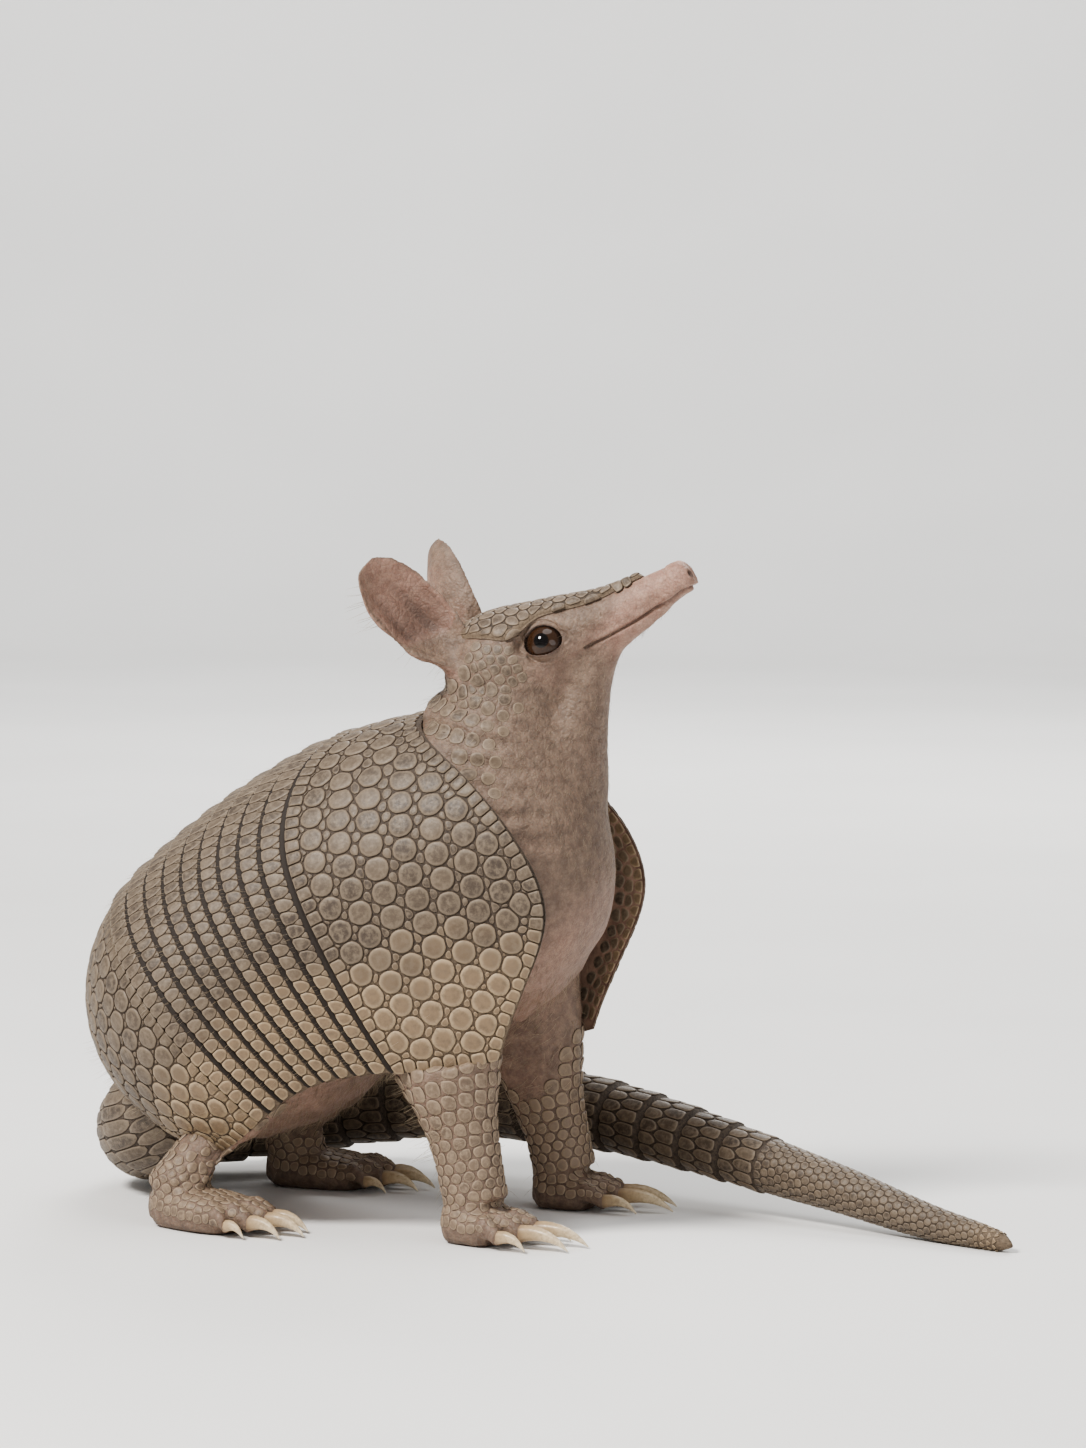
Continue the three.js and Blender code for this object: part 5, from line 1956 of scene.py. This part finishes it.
def crown():
    def place(x, angle):
        reach = np.radians(brow_angle(x))
        edge = np.minimum(np.minimum(x - CROWN_REAR, CROWN_FRONT - x), (reach - np.abs(angle)) * 20)
        roll = roll_off(edge, 3.2)
        return head_surface(x, angle, 2.35 - roll * 1.7)
    surface = Surface(place, 0.5, 0.02, -1)
    seeds, size = [], []
    x = 11.0
    k = 0
    while x < 93:
        pitch = float(np.interp(x, [8, 30, 60, 92], [5.4, 6.6, 5.0, 3.6]))
        reach = math.radians(float(brow_angle(x)))
        r = float(np.hypot(head_width(x), head_top(x))) / math.sqrt(2) + 2
        count = max(1, int(round(2 * reach * r / pitch)))
        for j in range(count):
            a = -reach + (j + 0.5 + (0.22 if k % 2 else -0.22)) * 2 * reach / count
            if abs(a) < reach - 1.4 / r:
                seeds.append((x + rng.normal(0, 0.35), a + rng.normal(0, 0.35) / r))
                size.append(pitch)
        x += pitch * 0.88
        k += 1
    uw, size = np.array(seeds), np.array(size)
    xs = np.linspace(CROWN_REAR, CROWN_FRONT, 260)
    edge = []
    for s in (1, -1):
        a = s * np.radians(brow_angle(xs))
        edge.append(margin(place(xs, a), place(xs, a * 0.9)))
    for x0, way in ((8.3, 1), (93.7, -1)):
        a = np.linspace(-1, 1, 60) * np.radians(brow_angle(np.array(x0)))
        edge.append(margin(place(x0 + 0 * a, a), place(x0 + way * 2 + 0 * a, a)))
    walls = (np.vstack([e[0] for e in edge]), np.vstack([e[1] for e in edge]))
    for _ in range(3):
        field = surface.seed(uw)
        polys = cells(field, 2.3 * size, 0.3, walls=walls, wall_gap=0.2)
        centre = np.array([middle_of(p) if p else (0, 0) for p in polys])
        uw = lerp(uw, field.uw_of(centre[:, None])[:, 0], 0.6)
    field = surface.seed(uw)
    polys = cells(field, 2.3 * size, 0.42, size=size * rng.uniform(0.35, 0.6, len(size)), walls=walls,
                  wall_gap=0.25)
    places = np.stack([uw[:, 0], uw[:, 1] * 22], -1)
    v, f, a, m = scutes(field, polys, 0.58 + 0 * size, 14, DOMED, 0.25 * smoothstep(uw[:, 0], 60, 92),
                        uv=places, soft=0.2)
    return dress(make("head_scutes", v, f, CROWN, attributes=a, uv=(m + [0, 48]) / 100), "armour")


crown()


# ---------------------------------------------------------------- the tail


def tail_swell(t):
    """Each ring rises to its rear edge and drops to the next one's start."""
    edges = ring_start(np.arange(TAIL_RINGS + 1))
    i = np.clip(np.searchsorted(edges, t, side="right") - 1, 0, TAIL_RINGS - 1)
    p = np.clip((t - edges[i]) / (edges[i + 1] - edges[i]), 0, 1)
    ringed = lerp(-0.02, 0.05, p) - 0.05 * np.exp(-(p / 0.07) ** 2)
    return np.where(t < TAIL_RINGED, ringed, 0.02 * smoothstep(TAIL_RINGED + 0.02 - t, 0, 0.02))


TAIL_BED = 0.55


def tail_low(t):
    """The tail grows paler towards its tip."""
    return 0.1 + 0.45 * t * t + 0.4 * smoothstep(t, 0.95, 1.0)


def tail_core():
    edges = ring_start(np.arange(TAIL_RINGS + 1))
    ts = [0.0]
    for a, b in zip(edges[:-1], edges[1:]):
        ts += list(a + (b - a) * np.array([0.03, 0.08, 0.2, 0.4, 0.6, 0.8, 0.94, 0.985]))
    ts += list(np.linspace(TAIL_RINGED + 0.002, 0.985, 60)) + [0.991, 0.996, 0.9995]
    def place(t, angle):
        close = np.sqrt(np.clip((1 - t) / 0.012, 0.03, 1))
        p = tail_surface(t, angle, (tail_radius(t) * (1 + tail_swell(t)) - TAIL_BED) * close
                         - tail_radius(t))
        p[..., 2] = np.maximum(p[..., 2], 0)
        return p
    verts, faces = loft(place, ts, 72)
    low = np.concatenate([np.repeat(tail_low(np.asarray(ts)), 72), [0.1, 1.0]])
    return dress(make("tail_bed", verts, faces, SEAM, attributes={"low": low}), "armour",
                 *[f"tail_{i + 1}" for i in range(5)])


tail_core()


def tail_scutes():
    sets = []
    edges = ring_start(np.arange(TAIL_RINGS + 1)) * TAIL_LENGTH
    for i in range(TAIL_RINGS):
        a, b = edges[i] + 0.5, edges[i + 1] - 0.25

        def place(u, angle, a=a, b=b):
            t = u / TAIL_LENGTH
            p = np.clip((u - a) / (b - a), -0.1, 1.1)
            return tail_surface(t, angle, tail_radius(t) * lerp(-0.02, 0.05, p) - TAIL_BED)
        surface = Surface(place, 0.3, 0.03, -1)
        r = float(tail_radius((a + b) / 2 / TAIL_LENGTH))
        count = max(8, int(round(2 * math.pi * r / lerp(4.4, 6.8, r / TAIL_BASE))))
        half, step = math.pi / count, b - a
        seeds = []
        for j in range(count):
            turn = 2 * math.pi * (j + 0.5 * (i % 2)) / count
            seeds += [(lerp(a, b, 0.68), turn), (lerp(a, b, 0.24), turn + half)]
        uw = np.array(seeds)
        field = surface.seed(uw)
        polys = []
        for k, (tall, wide) in enumerate(metric(field).T):
            near, gap = half - 0.2 / wide, 0.2 / tall
            if k % 2 == 0:
                # the rear row of each ring is the larger, and points forward into the other
                polys.append([(0.3 * step, -near), (0.3 * step, near), (gap - 0.12 * step, near),
                              (2 * gap - 0.3 * step, 0), (gap - 0.12 * step, -near)])
            else:
                polys.append([(-0.2 * step, -near), (0.14 * step - gap, -near), (0.32 * step - 2 * gap, 0),
                              (0.14 * step - gap, near), (-0.2 * step, near)])
        polys = spread(field, polys)
        places = np.stack([uw[:, 0], (uw[:, 1] - math.pi) * r * 0.98], -1)
        low = tail_low(uw[:, 0] / TAIL_LENGTH) + 0.25 * smoothstep(-np.cos(uw[:, 1]), 0.2, 0.9)
        sets.append(scutes(field, polys, 0.62 + 0 * low, 14, FLAT, low, uv=places, soft=0.14, times=1,
                           lean=-0.3))
    # the tip's small scales, in close rows
    u = TAIL_RINGED * TAIL_LENGTH + 2
    seeds, size = [], []
    k = 0
    while u < TAIL_LENGTH * 0.992:
        r = float(tail_radius(u / TAIL_LENGTH))
        pitch = lerp(2.3, 4.2, min(1, r / 9))
        count = max(5, int(round(2 * math.pi * r / pitch)))
        for j in range(count):
            seeds.append((u + rng.normal(0, 0.1), 2 * math.pi * (j + 0.5 * (k % 2)) / count))
            size.append(pitch)
        u += pitch * 0.9
        k += 1

    def plain(u, angle):
        t = u / TAIL_LENGTH
        return tail_surface(t, angle, -TAIL_BED)
    surface = Surface(plain, 0.3, 0.05, -1)
    uw, size = np.array(seeds), np.array(size)
    field = surface.seed(uw)
    polys = cells(field, 2.2 * size, 0.3)
    places = np.stack([uw[:, 0], (uw[:, 1] - math.pi) * tail_radius(uw[:, 0] / TAIL_LENGTH) * 0.98], -1)
    sets.append(scutes(field, polys, np.minimum(0.45, size * 0.14), 10, FLAT,
                       tail_low(uw[:, 0] / TAIL_LENGTH), uv=places, lean=0.4))
    v, f, a, m = merged(sets)
    v[:, 2] = np.maximum(v[:, 2], 0.0)
    return dress(make("tail_scutes", v, f, ARMOUR, attributes=a, uv=(m + [10, 90]) / 460), "armour")


tail_scutes()


# ---------------------------------------------------------------- scales on the skin


LEG_TOP_SEEDS = 2200


def leg_pitch(z):
    """How far apart the leg's scales stand, z of the way down it."""
    return float(np.interp(z, [0.1, 0.55, 0.9], [8.6, 7.0, 5.4]))


def leg_scales(tag, leg, side):
    """Scales down the leg to its wrist, over the foot's back and along each toe."""
    stations = np.array(leg["stations"], float)
    points, way, size, places = [], [], [], []
    length = float(np.linalg.norm(np.diff(stations[:, :3], axis=0), axis=1).sum())
    across, deep = limb_radii(stations)
    z = 0.10
    k = 0
    while z < 0.995:
        t = np.array(z)
        r = (float(across(t)) + float(deep(t))) / 2
        pitch = leg_pitch(z)
        count = max(6, int(round(2 * math.pi * r / pitch)))
        a = (np.arange(count) + 0.5 * (k % 2)) * 2 * math.pi / count + rng.normal(0, 0.012, count)
        ts = np.clip(z + rng.normal(0, 0.0022, count), 0, 1)
        p = limb_surface(leg, side, ts, a)
        ahead = limb_surface(leg, side, np.minimum(ts + 0.02, 1), a)
        # angle 90 degrees is the leg's left side; the inner side of the upper leg stays bare
        inner = np.cos(a - side * math.pi / 2) < np.interp(z, [0.1, 0.5, 0.75], [0.1, -0.45, -1.2])
        for i in np.flatnonzero(~inner):
            points.append(p[i])
            way.append(p[i] - ahead[i])
            size.append(pitch)
            places.append((ts[i] * length, (a[i] % (2 * math.pi)) * r))
        z += pitch * 0.88 / length
        k += 1
    foot = leg["foot"]
    offset = length + 12
    for x in np.arange(foot["rear"] + 2, foot["front"] - 5, 4.6):
        t = (x - foot["rear"]) / (foot["front"] - foot["rear"])
        high, wide = lerp(foot["rear_height"], foot["front_height"],
                          t), lerp(foot["rear_width"], foot["front_width"], float(smoothstep(t, 0, 0.7)))
        count = int(round(3.0 * wide / 5.0))
        for j in range(count):
            a = (j + 0.5 - count / 2 + 0.25 * (int(x / 4.6) % 2)) / count * 3.1
            at = on_foot(foot, side, x, wide * math.sin(a), high * (0.42 + 0.58 * math.cos(a)))
            points.append(at)
            way.append(on_foot(foot, side, x - 1, 0, 0) - on_foot(foot, side, x, 0, 0))
            size.append(4.8)
            places.append((offset + x - foot["rear"], a * 10 + 60))
    for n, toe in enumerate(leg["toes"]):
        _, reach, radius, _ = toe
        for x in np.arange(foot["front"] - 3.4, foot["front"] + reach - 1.0, 3.7):
            for a in (-0.72, 0.0, 0.72) if radius > 4.2 else (-0.5, 0.5):
                at = on_foot(foot, side, x, fan(foot, toe, x) + radius * 0.9 * math.sin(a * 1.25),
                             radius + 2 + radius * math.cos(a * 1.25))
                points.append(at)
                way.append(on_foot(foot, side, x - 1, 0, 0) - on_foot(foot, side, x, 0, 0))
                size.append(4.4 if a == 0 else 3.4)
                places.append((offset + 70 + n * 14 + (a + 0.8) * 5, 20 + (x - foot["front"] + 6) * 1.4))
    # where the leg widens into the body, the skin stands out past the limb's own line
    for z in np.arange(0.16, 0.62, 0.035):
        t = np.array(z)
        pitch = leg_pitch(z)
        r = (float(across(t)) + float(deep(t))) / 2 + 9
        count = int(round(2 * math.pi * r / pitch))
        a = (np.arange(count) + 0.5 * (int(z / 0.035) % 2)) * 2 * math.pi / count
        p = limb_surface(leg, side, z + 0 * a, a, 9.0)
        ahead = limb_surface(leg, side, z + 0.02 + 0 * a, a, 9.0)
        outer = np.cos(a - side * math.pi / 2) > np.interp(z, [0.1, 0.5, 0.75], [-0.1, -0.45, -1.2])
        for i in np.flatnonzero(outer):
            points.append(p[i])
            way.append(p[i] - ahead[i])
            size.append(pitch)
            places.append((z * length + 3, (a[i] % (2 * math.pi)) * r + 4))
    # and over its top, wherever the rows have left the skin bare
    rows = len(points)
    corners = SKIN_POINTS[[f[:3] for f in _loops]]
    middle = corners.mean(1)
    axis = [np.interp(middle[:, 2], stations[::-1, 2], stations[::-1, k]) * (1, side)[k] for k in (0, 1)]
    bare = np.flatnonzero((leg_tops(middle) > 0.2) & (side * (middle[:, 1] - axis[1]) > -4)
                          & (np.hypot(middle[:, 0] - axis[0], middle[:, 1] - axis[1]) < 40))
    corners = corners[bare]
    area = np.linalg.norm(np.cross(corners[:, 1] - corners[:, 0], corners[:, 2] - corners[:, 0]), axis=1)
    for i in rng.choice(len(bare), LEG_TOP_SEEDS, p=area / area.sum()):
        share = rng.dirichlet((1, 1, 1))
        p = share @ corners[i]
        points.append(p)
        way.append((0, 0, 1))
        size.append(7.2)
        places.append(((float(p[2]) + 40) * 1.2, 70 + float(p[0]) - stations[2, 0]))
    points, way, size, places = (np.array(v, float) for v in (points, way, size, places))
    field = Hide(HIDE).seed(points, way)
    far = np.linalg.norm(field.at - points, axis=1)
    high = field.at[:, 2]
    over, height, _ = over_armour(field.at)
    covered = (buried(field.at + field.n * 3) & ~proud(field.at)) | (over & (height < 0))
    keep = np.flatnonzero((far < np.where(high > 30, 8.5, 6.0)) & (high > 2.2) & (field.n[:, 2] > -0.62)
                          & ~covered)
    # two that landed together leave one
    tree = tree_of(field.at[keep])
    gone = np.zeros(len(keep), bool)
    for i, j in enumerate(keep):
        if not gone[i]:
            for _, o, d in tree.find_range(field.at[j], size[j] * 0.74):
                if o > i and (d < size[j] * 0.62 or keep[o] >= rows):
                    gone[o] = True
    keep = keep[~gone]
    # and one that landed far from the rest is dropped
    tree = tree_of(field.at[keep])
    keep = keep[[len(tree.find_range(field.at[j], size[j] * 1.6)) > 3 for j in keep]]
    field = field.only(keep)
    size, places = size[keep], places[keep]
    polys = cells(field, 2.1 * size, 0.4, size=size * 0.5, sides=9)
    polys = [limited(p, s * 0.62) for p, s in zip(polys, size)]
    low = 0.25 + 0.35 * smoothstep(-field.n[:, 1] * side, -0.2, 0.8) + 0.2 * rng.random(len(size))
    v, f, a, m = scutes(field, polys, np.minimum(0.62, 0.095 * size), 12, DOMED[:-1], low, uv=places,
                        soft=0.24, lean=-0.35)
    v[:, 2] = np.maximum(v[:, 2], 0.05)
    return dress(make(f"scales_{tag}", v, f, LEG_SCALE, attributes=a, uv=(m + [5, 30]) / 360), "armour")


for _tag, _leg, _side in LEGS:
    leg_scales(_tag, _leg, _side)


def face_scales():
    """Small scutes behind the head's shield: over the nape, behind the cheek and under the eye."""
    points, way, size, places, front = [], [], [], [], []
    # nape and sides of the neck, in rows across it
    k = 0
    t = 0.30
    while t < 0.93:
        w, h = float(neck_width(t)), float(neck_height(t))
        pitch = float(np.interp(t, [0.3, 0.9], [9.2, 6.6]))
        r = (w + h) / 2
        reach = float(np.interp(t, [0.3, 0.6, 0.9], [0.9, 1.5, 1.9]))
        count = max(3, int(2 * reach * r / pitch))
        for j in range(count):
            a = (j + 0.5 - count / 2 + 0.25 * (1 if k % 2 else -1)) / count * 2 * reach
            p = neck_surface(np.array(t), np.array(a))
            ahead = neck_surface(np.array(t + 0.02), np.array(a))
            points.append(p)
            way.append(ahead - p)
            size.append(pitch)
            places.append((t * 110, a * r + 130))
            front.append(float(smoothstep(abs(a) / reach, 0.55, 1.0)))
        t += pitch * 0.9 / 105
        k += 1
    # the back of the head and its cheeks
    for x in np.arange(2.0, 47.0, 4.3):
        pitch = float(np.interp(x, [2, 46], [5.4, 3.4]))
        r = (float(head_width(x)) + float(head_bottom(x))) / 2
        start = math.radians(float(brow_angle(max(x, 8.0)))) + 0.10
        stop = float(np.interp(x, [2, 30, 46], [2.1, 1.95, 1.75]))
        for s in (1, -1):
            count = max(1, int((stop - start) * r / pitch))
            for j in range(count):
                a = start + (j + 0.5 + 0.2 * (int(x / 4.3) % 2)) * (stop - start) / count
                points.append(head_surface(x, s * a))
                way.append(head_surface(x + 1, s * a) - head_surface(x, s * a))
                size.append(pitch)
                places.append((150 + x, 130 + s * a * r * 1.1))
                front.append(0.0)
    points, way, size, places, front = (np.array(v, float) for v in (points, way, size, places, front))
    size = size * (1 - 0.36 * front)
    field = Hide(HIDE).seed(points, way)
    h = to_head(field.at)
    far = np.linalg.norm(field.at - points, axis=1)
    clear = np.ones(len(h), bool)
    for s in (1, -1):
        c = EYE_AT * [1, s, 1]
        clear &= np.linalg.norm(h - c, axis=1) > np.where(h[:, 0] > c[0], 16.5, 14.6)
        clear &= np.linalg.norm(h - (EAR_AT + [-3, 8, 6]) * [1, s, 1], axis=1) > 16
    on_shield = (h[:, 0] > 5) & (h[:, 0] < 96) & (np.abs(np.arctan2(h[:, 1], h[:, 2]))
                                                  < np.radians(brow_angle(h[:, 0])) + 0.07) & (h[:, 2] > 0)
    l_here = shell_depth(field.at)
    keep = np.flatnonzero((far < 7) & clear & ~on_shield & (leaf_mask(field.at) < 0.3) & (l_here > 1.5)
                          & (np.abs(h[:, 1]) < 70))
    tree = tree_of(field.at[keep])
    gone = np.zeros(len(keep), bool)
    for i, j in enumerate(keep):
        if not gone[i]:
            for _, o, _ in tree.find_range(field.at[j], size[j] * 0.62):
                if o > i:
                    gone[o] = True
    keep = keep[~gone]
    field, size, places, front = field.only(keep), size[keep], places[keep], front[keep]
    polys = cells(field, 2.1 * size, 0.42, size=size * 0.5, sides=9)
    polys = [limited(p, s * 0.6) for p, s in zip(polys, size)]
    h = to_head(field.at)
    small = np.maximum(smoothstep(h[:, 0], 10, 46), front)
    v, f, a, m = scutes(field, polys, np.minimum(0.55, 0.085 * size) * (1 - 0.35 * small), 12, DOMED[:-1],
                        0.25 + 0.35 * small, uv=places, soft=0.24, lean=-0.3)
    return dress(make("scales_neck_and_cheek", v, f, CROWN, attributes=a, uv=(m + [5, 5]) / 275), "armour")


def shell_depth(p):
    """How far ahead of the scapular shield's front margin each point lies, along the body."""
    s, _, z = on_axis(p)
    b = body_at(s)
    angle = np.arctan2(np.abs(p[:, 1]) / b["width"], z / b["height"])
    quarter = quarter_of(b)
    reach = np.where(z > 0, angle / (math.pi / 2) * quarter, quarter - z)
    v = np.clip(reach / (quarter + b["skirt"]), 0, 1)
    return s - scapular_front(v)


face_scales()


# ---------------------------------------------------------------- hairs


def hairs(name, roots, normals, lie, length, thick, places, scale):
    """Sparse bristles: thin tapered spikes that lie along the body, each a small patch on the map."""
    n = len(roots)
    steps = np.array([0.0, 0.35, 0.7])
    side = unit(np.cross(normals, lie))
    forward = unit(lie)
    start = unit(normals * 0.75 + forward * 0.6)
    rings = []
    for s in steps:
        at = (roots - normals * 0.4 + start * (s - 0.35 * s * s) * length[:, None]
              + forward * (0.42 * s * s) * length[:, None])
        r = thick[:, None] * (1 - 0.75 * s)
        for k in range(3):
            a = k * 2 * math.pi / 3
            rings.append(at + (side * math.cos(a) + np.cross(side, start) * math.sin(a)) * r)
    tip = roots - normals * 0.4 + start * 0.65 * length[:, None] + forward * 0.42 * length[:, None]
    verts = np.stack(rings + [tip], 1)
    quads = grid_faces(3, 3, True)
    tris = np.array([[6, 7, 9], [7, 8, 9], [8, 6, 9], [2, 1, 0]])
    base = np.arange(n)[:, None, None] * 10
    local = np.array([(c, r) for r in range(3) for c in range(3)] + [(1, 3)], float) / 3 * 0.003
    # the map's own corners keep every face of a hair open
    local[:, 0] += 0.0004 * np.array([0, 0, 0, 1, 1, 1, 2, 2, 2, 0])
    uv = places / scale
    m = (uv[:, None] + local[None]).reshape(-1, 2)
    cell = np.repeat(rng.random(n), 10)
    obj = make(name, verts.reshape(-1, 3),
               [(base + tris[None]).reshape(-1, 3), (base + quads[None]).reshape(-1, 4)], HAIR,
               attributes={"cell": cell}, uv=m)
    return dress(obj, "skin")


HAIRS = dict(belly=2400, legs=600, face=1500, bands=1500)


def scatter(pick, count, seed):
    """Random roots on the skin's faces that pick chooses, spread by area."""
    mesh = BODY.data
    mesh.calc_loop_triangles()
    tri = read(mesh.loop_triangles, "vertices", 3, np.int32)
    p = SKIN_POINTS[tri]
    normal = np.cross(p[:, 1] - p[:, 0], p[:, 2] - p[:, 0])
    area = np.linalg.norm(normal, axis=1)
    normal = unit(normal)
    weight = area * pick(p.mean(1), normal)
    local = np.random.default_rng(seed)
    chosen = local.choice(len(tri), count, p=weight / weight.sum())
    a, b = local.random(count), local.random(count)
    flip = a + b > 1
    a, b = np.where(flip, 1 - a, a), np.where(flip, 1 - b, b)
    q = p[chosen]
    roots = q[:, 0] + (q[:, 1] - q[:, 0]) * a[:, None] + (q[:, 2] - q[:, 0]) * b[:, None]
    return roots, normal[chosen], local


def body_hairs():
    def belly(p, n):
        free = (p[:, 2] > 36) * smoothstep(-n[:, 2], -0.55, 0.3) * ~buried(p)
        return free * (shell_depth(p) < 60) * (to_head(p)[:, 0] < -10)
    roots, normals, local = scatter(belly, HAIRS["belly"], 21)
    lie = unit(np.stack([-np.ones(len(roots)), 0.25 * np.sign(roots[:, 1]), -0.4 * np.ones(len(roots))], -1)
               + local.normal(0, 0.22, (len(roots), 3)))
    hairs("hairs_belly", roots, normals, lie, local.uniform(6, 13, len(roots)),
          local.uniform(0.06, 0.1, len(roots)),
          np.stack([roots[:, 0] + 200, roots[:, 1] + 160 + 0.9 * roots[:, 2] * np.sign(roots[:, 1])], -1),
          520)

    def legs(p, n):
        return (p[:, 2] > 6) * (p[:, 2] < 96) * (np.abs(p[:, 1]) > 24) * ~buried(p) * (p[:, 0] < 120) * 1.0
    roots, normals, local = scatter(legs, HAIRS["legs"], 22)
    lie = unit(np.stack([-0.25 * np.ones(len(roots)), 0 * roots[:, 1], -np.ones(len(roots))], -1)
               + local.normal(0, 0.2, (len(roots), 3)))
    hairs("hairs_legs", roots, normals, lie, local.uniform(4, 8, len(roots)),
          local.uniform(0.05, 0.09, len(roots)),
          np.stack([roots[:, 0] + 150 + 0.4 * roots[:, 1], roots[:, 2] + 100 * (roots[:, 1] > 0) + 40], -1),
          300)

    def face(p, n):
        h = to_head(p)
        near_eye = np.zeros(len(p), bool)
        for s in (1, -1):
            near_eye |= np.linalg.norm(h - EYE_AT * [1, s, 1], axis=1) < 11
        crown_ = (np.abs(np.arctan2(h[:, 1], h[:, 2])) < np.radians(brow_angle(h[:, 0]))
                  + 0.05) & (h[:, 0] > 8)
        return (h[:, 0] > -30) * (h[:, 0] < 100) * (p[:, 2] > HEAD_ABOVE) * ~near_eye * ~crown_ * (
            leaf_mask(p) < 0.3) * (shell_depth(p) > 2) * (0.35 + 0.65 * (h[:, 2] < -4))
    roots, normals, local = scatter(face, HAIRS["face"], 23)
    back_ = -unit(in_head([1.0, 0, 0]) - in_head([0, 0, 0]))
    lie = unit(back_ + np.array([0, 0, -0.35]) + local.normal(0, 0.2, (len(roots), 3)))
    reach = to_head(roots)[:, 0]
    hairs("hairs_face", roots, normals, lie, np.interp(reach, [-30, 40, 100], [7.0, 4.5, 2.6])
          * local.uniform(0.7, 1.3, len(roots)),
          local.uniform(0.045, 0.075, len(roots)),
          np.stack([reach + 40, np.arctan2(to_head(roots)[:, 1], to_head(roots)[:, 2]) * 26 + 100], -1),
          200)


body_hairs()


def shell_hairs():
    """A few bristles stand out of the seams between the bands and along the pelvic shield's front edge."""
    local = np.random.default_rng(31)
    n = HAIRS["bands"]
    band = local.integers(0, BAND_COUNT, n)
    v = local.uniform(-0.97, 0.97, n)
    l = BAND_REAR + band * BAND_PITCH - 0.15 + local.normal(0, 0.1, n)
    normal = shell_normal(l, v)
    lie = unit(carapace(l - 1, v) - carapace(l + 1, v) + local.normal(0, 0.25, (n, 3)))
    roots = carapace(l, v) + normal * -0.2
    hairs("hairs_bands", roots, normal, lie, local.uniform(3.5, 7, n), local.uniform(0.05, 0.08, n),
          np.stack([l + 60, v * 190 + 230], -1), 460)


shell_hairs()


# ---------------------------------------------------------------- floor, light and camera


def floor_look(node, links, shader):
    grain = noise_of(node, 3.0, 2)
    links.new(ramp(node, grain, (0.3, (0.78, 0.775, 0.765)), (0.7, (0.81, 0.805, 0.795))),
              shader.inputs["Base Color"])
    shader.inputs["Roughness"].default_value = 0.85
    shader.inputs["Specular IOR Level"].default_value = 0.2


def floor():
    """A pale floor that sweeps up behind the animal, on every side."""
    turn = np.linspace(0, math.pi / 2, 24)
    line = [(0.5, 0.0), (1.5, 0.0), (3.4, 0.0)] + [(3.4 + 1.1 * math.sin(a), 1.1 - 1.1 * math.cos(a))
                                                   for a in turn[1:]] + [(4.5, 1.4)]
    around = np.arange(120) * 2 * math.pi / 120
    verts = [(r * math.cos(a), r * math.sin(a), z) for r, z in line for a in around] + [(0, 0, 0)]
    faces = [tuple(int(i) for i in f[::-1]) for f in grid_faces(len(line), 120, True)]
    faces += [(j, (j + 1) % 120, len(verts) - 1) for j in range(120)]
    mesh = bpy.data.meshes.new("floor")
    mesh.from_pydata(verts, [], faces)
    mesh.polygons.foreach_set("use_smooth", np.ones(len(mesh.polygons), bool))
    mesh.materials.append(material("floor_matte", floor_look))
    obj = bpy.data.objects.new("floor", mesh)
    bpy.context.scene.collection.objects.link(obj)
    obj.location.z = -0.0002


floor()


def area_light(name, at, target, size, power, colour=(1, 1, 1)):
    data = bpy.data.lights.new(name, "AREA")
    data.shape = "DISK"
    data.size = size
    data.energy = power
    data.color = colour
    obj = bpy.data.objects.new(name, data)
    obj.location = at
    obj.rotation_euler = (Vector(target) - Vector(at)).to_track_quat("-Z", "Y").to_euler()
    bpy.context.scene.collection.objects.link(obj)


LOW, HIGH = (Vector(c) for c in START_BOX)
MIDDLE = (LOW + HIGH) / 2
area_light("key", (-0.8, -1.5, 2.0), MIDDLE, 0.7, 82, (1.0, 0.97, 0.93))
area_light("fill", (2.2, -1.0, 0.9), MIDDLE, 1.4, 9, (0.95, 0.97, 1.0))
area_light("back", (-0.3, 2.1, 1.6), MIDDLE, 1.4, 34, (1.0, 0.99, 0.97))
area_light("top", (0.2, 0.2, 2.6), MIDDLE, 1.6, 16)
area_light("wall", (-0.9, 2.3, 2.2), (-1.7, 4.5, 0.9), 2.0, 46)

world = bpy.data.worlds.new("studio")
bpy.context.scene.world = world
world.use_nodes = True
world.node_tree.nodes["Background"].inputs["Color"].default_value = (0.93, 0.93, 0.92, 1)
world.node_tree.nodes["Background"].inputs["Strength"].default_value = 0.46

VIEW_AZIMUTH, VIEW_ELEVATION = rad(22.3), rad(4.7)
VIEW_SPAN = 0.616          # height of the view at the animal
VIEW_DISTANCE = 2.6
VIEW_FROM = Vector(row([66, -50, 0]))    # under the near front foot
VIEW_RIGHT, VIEW_UP = 0.0345, 0.2196     # where the view's middle lies from there

ca, sa, ce, se = math.cos(VIEW_AZIMUTH), math.sin(VIEW_AZIMUTH), math.cos(VIEW_ELEVATION), math.sin(
    VIEW_ELEVATION)
right, back, above = Vector((ca, sa, 0)), Vector((sa * ce, -ca * ce, se)), Vector((-sa * se, ca * se, ce))
camera_data = bpy.data.cameras.new("camera")
camera_data.sensor_fit = "VERTICAL"
camera_data.sensor_height = 36
camera_data.lens = 36 * VIEW_DISTANCE / VIEW_SPAN
camera_data.clip_end = 50
camera = bpy.data.objects.new("camera", camera_data)
camera.location = VIEW_FROM + right * VIEW_RIGHT + above * VIEW_UP + back * VIEW_DISTANCE
camera.rotation_euler = Matrix((right, above, back)).transposed().to_euler()
bpy.context.scene.collection.objects.link(camera)
bpy.context.scene.camera = camera
bpy.context.scene.view_settings.view_transform = "AgX"
bpy.context.scene.view_settings.look = "AgX - Medium High Contrast"
